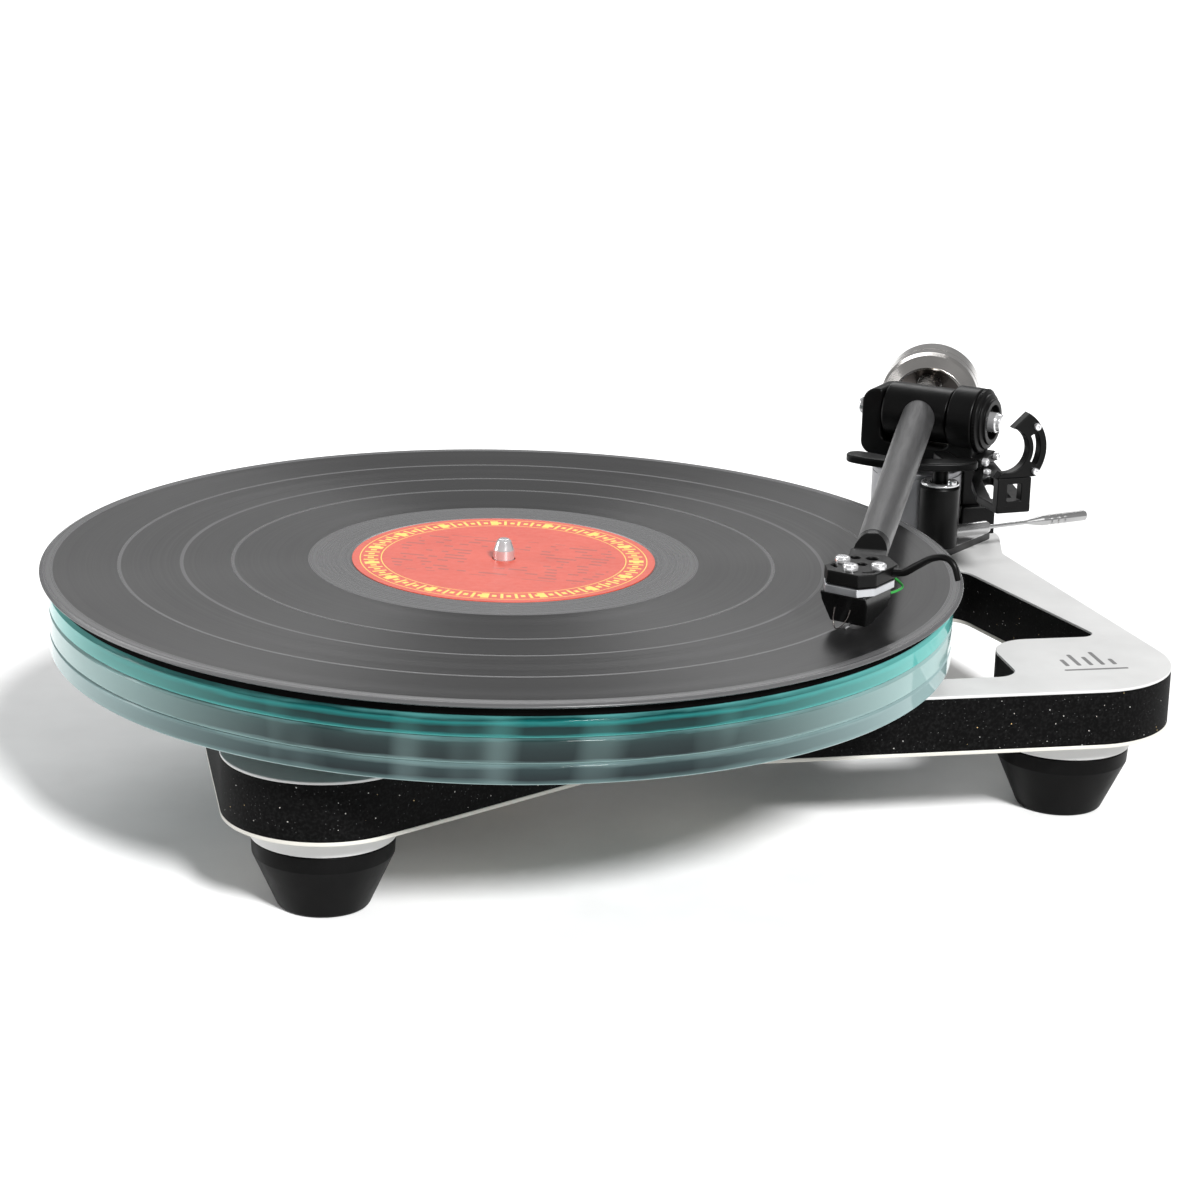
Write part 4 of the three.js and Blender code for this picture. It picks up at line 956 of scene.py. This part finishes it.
def build_lift():
    slot = slab(box_outline(-4.2, 12, -3.9, 3.9, 0.6), LEVER_HEIGHT - 4.4, LEVER_HEIGHT + 8.5, 0.4)
    shell = lathe([
        (0, 56), (7.5, 56, 0.3), (7.5, 78.6, 0.4), (6.9, 79.4), (3.4, 79.4), (3.4, 72), (0, 72),
    ])
    piece("lift_shell", carved(shell, slot), LIFT, "black", "plinth", "black_plastic", "lift_housing")
    cap = lathe([
        (3.8, 80), (3.8, 79.7), (7.2, 79.7, 0.2), (7.2, 80.4, 0.3), (6.5, 80.8, 0.2), (5.4, 80.3, 0.3),
        (3.8, 80.5, 0.2), (3.8, 80),
    ])
    piece("lift_cap", cap, LIFT, "chrome", "plinth", "chrome", "lift_ring")

    hub = moved(lathe(disc_profile(3.4, -3.4, 3.4, 0.4), 48), turned(math.pi / 2, "X"))
    grip = []
    for k in range(3):
        x = 50.5 + 3.1 * k
        grip += [(2.05, x, 0.15), (1.7, x + 0.35, 0.1), (1.7, x + 0.9, 0.1), (2.05, x + 1.25, 0.15)]
    rod = lathe([
        (0, 0), (2.5, 0), (2.5, 21.9, 0.3), (2.1, 22.9, 0.3), (0.8, 23.3, 0.2), (0.8, 40.5, 2), (2.05, 48, 1),
        *grip, (2.05, 67.7, 0.4), (1.7, 68.2, 0.2), (0, 68.2),
    ], 48)
    lever = moved(together(hub, moved(rod, ALONG_X)), at(0, 0, LEVER_HEIGHT))
    piece("lever", lever, LIFT, "lever", "cue_lever", "chrome", "cue_lever")

    lift_point = ARM_MOUNT.inverted() @ middle("lift_housing")
    x, y = lift_point.x, lift_point.y
    reach = (LIFT_BAR_RADII[0] + 2) / math.hypot(x, y)
    outline = curved_bar(*LIFT_BAR_RADII, *LIFT_BAR_ANGLES)
    bar = together(
        slab(outline, LIFT_BAR_BOTTOM, LIFT_BAR_TOP, 0.7),
        slab(capsule(x, y, x * reach, y * reach, 3), LIFT_BAR_BOTTOM + 0.05, LIFT_BAR_TOP - 0.05, 0.5),
        moved(lathe(disc_profile(3, 73.6, 89.4, 0.3), 40), at(x, y, 0)),
    )
    piece("cue_bar", bar, ARM_MOUNT, "black", "lift_bar", "black_plastic", "lift_bar")
    bolt("lift_bolt", (1.7, 1.9, 0.8), at(x + 3.1, y - 4.6, 80.5), ARM_MOUNT, "plinth")


def build_arm_rest():
    left, right = -3.2, 10.2
    near, far = CLIP_REACH - CLIP_DEPTH / 2, CLIP_REACH + CLIP_DEPTH / 2
    outline = rounded([
        (-5, 17.8, 1), (14, 17.8, 6), (36, 5, 8), (57, left, 8), (far, left, 1), (far, right, 1),
        (12, 26.5, 6), (-5, 26.5, 2),
    ], steps=10)
    gap = rounded([(63, -0.4, 1), (63, 7.5, 1), (33, 14.6, 1), (37, 9, 1)], steps=6)
    beams = slab(outline, BRACKET_BOTTOM, BRACKET_TOP, 0.5, [gap])
    leg = slab(box_outline(-4.9, 3.9, 17.9, 25.9, 0.8), REST_BLOCK_TOP + 0.1, BRACKET_BOTTOM + 1, 0.3)
    post_top = CLIP_BOTTOM - 0.1
    window = box_outline(left + 3.9, right - 3.9, BRACKET_TOP + 1.4, post_top - 2.3, 0.4)
    post_outline = box_outline(left + 0.05, right - 0.05, BRACKET_BOTTOM + 0.6, post_top, 0.5)
    post = moved(slab(post_outline, near + 0.05, far - 0.05, 0.4, [window]), FACING_X)
    piece("rest_arm", together(beams, leg, post), REST, "black", "plinth", "black_plastic", "rest_bracket")
    bolt("rest_bolt", (1.5, 1.4, 0.7), at(28, 15.4, BRACKET_TOP), REST, "plinth")

    flat_end = math.degrees(math.asin((CLIP_HEIGHT - CLIP_BOTTOM) / CLIP_OUTER))
    lower_end = Vector((-3.6, CLIP_BOTTOM - CLIP_HEIGHT))
    ring = arc(CLIP_OUTER, -flat_end, 60, 50) + arc(CLIP_INNER, 78, -104, 52) + [lower_end]
    slot = arc(10.2, -26, 29, 16) + arc(12.8, 29, -26, 16)
    centre = at(0, 0, CLIP_HEIGHT) @ FACING_X
    hoop = moved(slab(ring, near, far, 0.4, [slot]), centre)
    piece("rest_hoop", hoop, REST, "black", "plinth", "black_plastic", "rest_clip")
    for name, side, up in (("upper", 10.8, 8.4), ("lower", 11.1, -8.1)):
        place = at(far, side, CLIP_HEIGHT + up) @ ALONG_X
        bolt(f"hoop_screw_{name}", (1.3, 1.4, 0.6), place, REST, "plinth", f"clip_screw_{name}")


# ------------ tonearm

YOKE_DEPTH = 16
WEIGHT_DROP = 7.3
BEARING_AXIS = ARM_AXIS - 2.6
AXLE = at(0, 0, BEARING_AXIS) @ ALONG_X
TUBE_SLOPE = turned(-math.atan(2.6 / 204), "Y")


def build_yoke():
    frame_outline = rounded([
        (-20.7, 84.2, 5), (28.8, 84.2, 1.5), (28.8, 88.7, 1), (25, 88.7, 0.2), (25, 97.3, 1), (15, 97.3, 1),
        (15, 90.2, 3), (-12.6, 90.2, 3), (-12.6, 110, 1.5), (-20.7, 110, 6),
    ], steps=10)
    body = upright(slab(frame_outline, 0, YOKE_DEPTH, 0.8), YOKE_DEPTH)
    housing = moved(lathe([(0, 15), (12.15, 15, 0.8), (12.15, 25, 0.8), (0, 25)]), AXLE)
    cheek = moved(lathe([(0, -21.1), (6.2, -21.1, 0.5), (6.2, -20), (0, -20)], 64), AXLE)
    collar = lathe([(0, 81.3), (12, 81.3, 0.4), (12, 85.2), (0, 85.2)], 64)
    yoke = together(body, housing, cheek, collar)
    piece("yoke", yoke, YOKE, "black", "arm_yoke", "black_plastic", "arm_yoke")
    bolt("bearing_cap", (3.6, 3.4, 1.7, 1.6), AXLE @ at(0, 0, -21) @ FLIPPED, YOKE, "arm_yoke",
         "yoke_bearing_nut")
    for name, y in (("front", -5.7), ("back", 5.7)):
        place = at(28.8, y, 87.0) @ ALONG_X
        bolt(f"yoke_bolt_{name}", (1.6, 1.9, 0.9), place, YOKE, "arm_yoke", f"yoke_screw_{name}")
    dial = moved(lathe([
        (4.3, 26.1), (4.3, 25.3), (12, 25.3, 0.2), (12, 26.7, 0.3), (10.4, 27.3, 0.2), (10.4, 28.2, 0.3),
        (8.7, 28.7, 0.2), (8.7, 29.7, 0.3), (6.6, 29.7, 0.2), (6.2, 27.3), (4.3, 27.3), (4.3, 26.1),
    ]), AXLE)
    teeth = []
    for k in range(60):
        turn = turned(TAU * k / 60, "X")
        tooth = slab(box_outline(25.6, 26.5, -0.22, 0.22, 0.05), 11.9, 12.15)
        teeth.append(moved(tooth, at(0, 0, BEARING_AXIS) @ turn))
    dial = together(dial, *teeth)
    piece("dial", dial, YOKE, "black", "force_dial", "black_plastic", "tracking_force_dial")
    shaft = moved(lathe([
        (0, 25.3), (3.8, 25.3), (3.8, 31.2, 0.3), (3.3, 31.7, 0.2), (3.3, 33.3, 0.7), (0, 33.3),
    ], 64), AXLE)
    piece("dial_axle", shaft, YOKE, "chrome", "arm_yoke", "chrome", "dial_shaft")
    boss = moved(lathe([
        (0, -11.9), (9.8, -11.9, 0.3), (10.4, -11.2, 0.3), (10.4, 13.6, 0.3), (9.8, 14.3, 0.3), (0, 14.3),
    ]), AXLE)
    piece("boss", boss, YOKE, "black", "tonearm", "arm_black", "arm_bearing_boss")


def build_tube():
    tube = moved(lathe([
        (0, -18), (5.9, -18, 0.3), (6.3, -17.4, 0.3), (6.3, 40, 200), (5.4, 204), (0, 204),
    ], 64), at(0, 0, BEARING_AXIS) @ TUBE_SLOPE @ ALONG_X)
    pad = moved(lathe([(0, 92.3), (2, 92.3, 0.4), (2, 96.5), (0, 96.5)], 32), at(39, 0, 0))
    piece("tube", together(tube, pad), ARM, "arm", "tonearm", "arm_black", "arm_tube")


def build_head():
    plate_top = ARM_AXIS + 1
    outline = rounded([
        (4.2, -5.4, 0.8), (4.2, 5.4, 0.8), (-0.6, 9.1, 1.5), (-15, 9.1, 2.5), (-20.5, 3, 3), (-23, -1, 3),
        (-27, -11, 2), (-22, -12, 2), (-16, -9.1, 3), (-0.6, -9.1, 1.5),
    ], steps=8)
    holes = [
        rounded([(0.8, s * 3.6, 0.3), (-1.4, s * 7.4, 0.3), (-3.9, s * 7.4, 0.3)], steps=5) for s in (-1, 1)
    ]
    holes += [circle(-8, 0, 1.5, 32), circle(-13.4, -5.4, 1.6, 32), circle(-15.6, -0.6, 1.8, 32)]
    plate = slab(outline, ARM_AXIS - 3.1, plate_top, 0.45, holes)
    tube_end = turned(math.radians(-HEAD_OFFSET), "Z")
    start = tube_end @ Vector((204.3 - STYLUS_ALONG, -STYLUS_SIDE, 0))
    side = upright(slab(rounded([
        (-1, -5.6, 0.1), (4, -5.6, 3), (13, -3.0, 1), (15.5, -3.0, 0.5), (15.5, 0.9, 0.5), (9, 1.2, 3),
        (3.5, 5.6, 5), (-1, 5.6, 0.1),
    ], steps=8), 0, 14), 14)
    cylinder = moved(lathe([(0, 0), (5.4, 0, 0.3), (5.4, 15.5, 1.5), (0, 15.5)], 64), ALONG_X)
    neck = carved(cylinder, side, operation="INTERSECT")
    neck = moved(neck, at(start.x, start.y, ARM_AXIS) @ tube_end)
    piece("shell", together(plate, neck), HEAD, "black", "tonearm", "arm_black", "headshell")
    for name, x, y in (("inner", -7, -6.3), ("outer", -7, 6.3), ("front", -0.6, 0)):
        size = (2.4, 1.75, 1.2, 0.9)
        place = at(x, y, plate_top)
        bolt(f"shell_screw_{name}", size, place, HEAD, "tonearm", f"headshell_screw_{name}")

    lift = [
        (-11.5, 8.6, 17.6), (-11.3, 13, 18.6), (-11, 17.5, 21.6), (-10.8, 22.5, 24.8), (-10.5, 27, 25.8),
        (-10.2, 30.2, 24), (-10, 32, 19.6),
    ]
    points = [(x, y, RECORD_TOP + z) for x, y, z in lift]
    finger = swept(points, lambda t: 1.35 - 0.45 * t, 16, 8)
    piece("finger", finger, HEAD, "black", "tonearm", "arm_black", "finger_lift")


def build_cartridge():
    plate_top = ARM_AXIS - 3.4
    bottom = plate_top - 2.6
    outline = rounded([
        (4.9, -5.6, 0.5), (4.9, 5.6, 0.5), (-0.4, 9, 1), (-13.5, 9, 1), (-13.5, -9, 1), (-0.4, -9, 1),
    ], steps=6)
    mount = slab(outline, bottom, plate_top, 0.3)
    piece("cartridge_mount", mount, HEAD, "aluminium", "tonearm", "aluminium", "cartridge_plate")
    top = bottom - 0.1
    low = RECORD_TOP + 2.2
    side = upright(slab(rounded([
        (-12.8, top, 0.5), (-12.8, top - 6.2, 0.8), (-4.6, low, 1), (-0.4, low, 0.6), (3.6, top, 0.5),
    ], steps=6), 0, 20), 20)
    front_outline = [Vector(p) for p in (
        (-8, top + 1), (-8, top - 3), (-5.8, low - 1), (5.8, low - 1), (8, top - 3), (8, top + 1),
    )]
    front = moved(slab(front_outline, -20, 20), FACING_X)
    body = carved(side, front, operation="INTERSECT")
    piece("cartridge", body, HEAD, "black_gloss", "tonearm", "black_plastic", "cartridge_body", edge=0.3)

    start = Vector((-4.6, 0, low - 0.75))
    end = Vector((0.5, 0, RECORD_TOP + 0.95))
    rod = swept([start, (start + end) / 2, end], lambda t: 0.42 - 0.14 * t, 12, 4)
    tip = moved(lathe([(0, 0.4), (0.12, 0.5), (0.3, 0.95), (0, 1.05)], 16), at(0.1, 0, RECORD_TOP))
    piece("cantilever", together(rod, tip), HEAD, "chrome", "tonearm", "chrome", "stylus_cantilever")
    wire = [
        (2.4, -3, 7.6), (3.6, -2.8, 4), (4.4, -1.6, 1.7), (4.4, 0, 2.2), (3.6, 1.8, 4.6), (2.9, 2.6, 7.8),
    ]
    guard = swept([(x, y, RECORD_TOP + z) for x, y, z in wire], 0.17, 12, 6)
    piece("guard", guard, HEAD, "dark_steel", "tonearm", "chrome", "stylus_guard")

    for k, colour in enumerate(("green", "red", "white", "blue")):
        y = 7.6 - 3.2 * k
        out = 2.4 - 0.5 * k
        points = [
            (-13, y, low + 8.3), (-15.5, y + 0.4 * out, low + 8.6), (-18.2, y + 0.6 * out, low + 9.6),
            (-19.5, y * 0.7, low + 11.4), (-20, y * 0.3 - 1, ARM_AXIS - 2.6),
        ]
        cable = swept(points, 0.42, 10, 6)
        piece(f"tag_wire_{colour}", cable, HEAD, colour, "tonearm", "arm_black")


def build_counterweight():
    shaft = moved(lathe([
        (0, -80), (4.0, -80, 0.3), (4.5, -79.4, 0.2), (4.5, -27.4), (6, -26.3, 0.3), (6, -18.3, 0.4),
        (0, -18.3),
    ], 64), AXLE)
    piece("weight_shaft", shaft, ARM, "shaft", "tonearm", "steel", "counterweight_shaft")
    centre = at(0, 0, BEARING_AXIS - WEIGHT_DROP) @ ALONG_X
    body = lathe([
        (0, -72), (18.5, -72, 0.6), (19.5, -71, 0.6), (19.5, -60, 0.15), (19.3, -59.8, 0.1),
        (19.3, -59.3, 0.1), (19.5, -59.1, 0.15), (19.5, -53, 0.6), (18.6, -50.5, 0.6), (14.8, -46, 0.3),
        (13.9, -46.4, 0.2), (5, -52, 1), (0, -52),
    ], 160)
    bore = moved(slab(circle(0, 0, 4.8, 64), -90, -30), AXLE)
    mesh = carved(moved(body, centre), bore)
    axis = centre @ Vector((0, 0, -46))
    for face in mesh.faces:
        spot_on = face.calc_center_median()
        reach = Vector((spot_on.y, spot_on.z - axis.z)).length
        if face.normal.x > 0.3 and reach < 14.0:
            face.material_index = 1
    piece("weight", mesh, ARM, ("steel", "dark_steel"), "counterweight", "steel", "counterweight")


build_plinth()
build_corner_mark()
build_feet()
build_bearing_and_drive()
build_platter()
build_record()
build_arm_mounting()
build_lift()
build_arm_rest()
build_yoke()
build_tube()
build_head()
build_cartridge()
build_counterweight()

for node, look in (("thrust_ball", "chrome"), ("drive_belt", "rubber")):
    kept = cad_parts[node]
    kept.data.materials.clear()
    kept.data.materials.append(LOOKS[look])


# ------------ camera, floor and light

camera_data = bpy.data.cameras.new("camera")
camera_data.lens = 90.6
camera_data.sensor_width = 36
camera = in_scene("camera", camera_data)
camera.location = DECK @ Vector((-166.3, -943.3, 358.6))
camera.rotation_euler = [math.radians(a) for a in (73.322, -1.494, -11.470)]
bpy.context.scene.camera = camera

floor_mesh = bmesh.new()
bmesh.ops.create_grid(floor_mesh, x_segments=8, y_segments=8, size=9)
floor = as_object("floor", floor_mesh)
floor.data.materials.append(plain("floor_paper", grey(0.86), grey(0.9), 0.8, bump=0.0))

world = bpy.data.worlds.new("studio")
bpy.context.scene.world = world
world.use_nodes = True
world.node_tree.nodes["Background"].inputs["Color"].default_value = (1, 1, 1, 1)
world.node_tree.nodes["Background"].inputs["Strength"].default_value = 0.3


def softbox(name, place, aim, width, height, power):
    light = bpy.data.lights.new(name, "AREA")
    light.shape = "RECTANGLE"
    light.size = width
    light.size_y = height
    light.energy = power
    lamp = in_scene(name, light)
    lamp.location = place
    lamp.rotation_euler = (Vector(aim) - Vector(place)).to_track_quat("-Z", "Y").to_euler()


sun_data = bpy.data.lights.new("key", "SUN")
sun_data.energy = 5.0
sun_data.angle = math.radians(11)
sun = in_scene("key", sun_data)
sun.rotation_euler = Vector((0.3, -1.2, 1.0)).to_track_quat("Z", "Y").to_euler()

softbox("left_panel", (-1.5, 0.5, 0.5), (0, 0, 0.06), 0.6, 1.0, 10)
softbox("overhead", (0.1, 1.3, 1.1), (0, 0.1, 0.06), 1.6, 0.5, 12)

bpy.context.scene.view_settings.view_transform = "Standard"
bpy.context.scene.view_settings.look = "None"
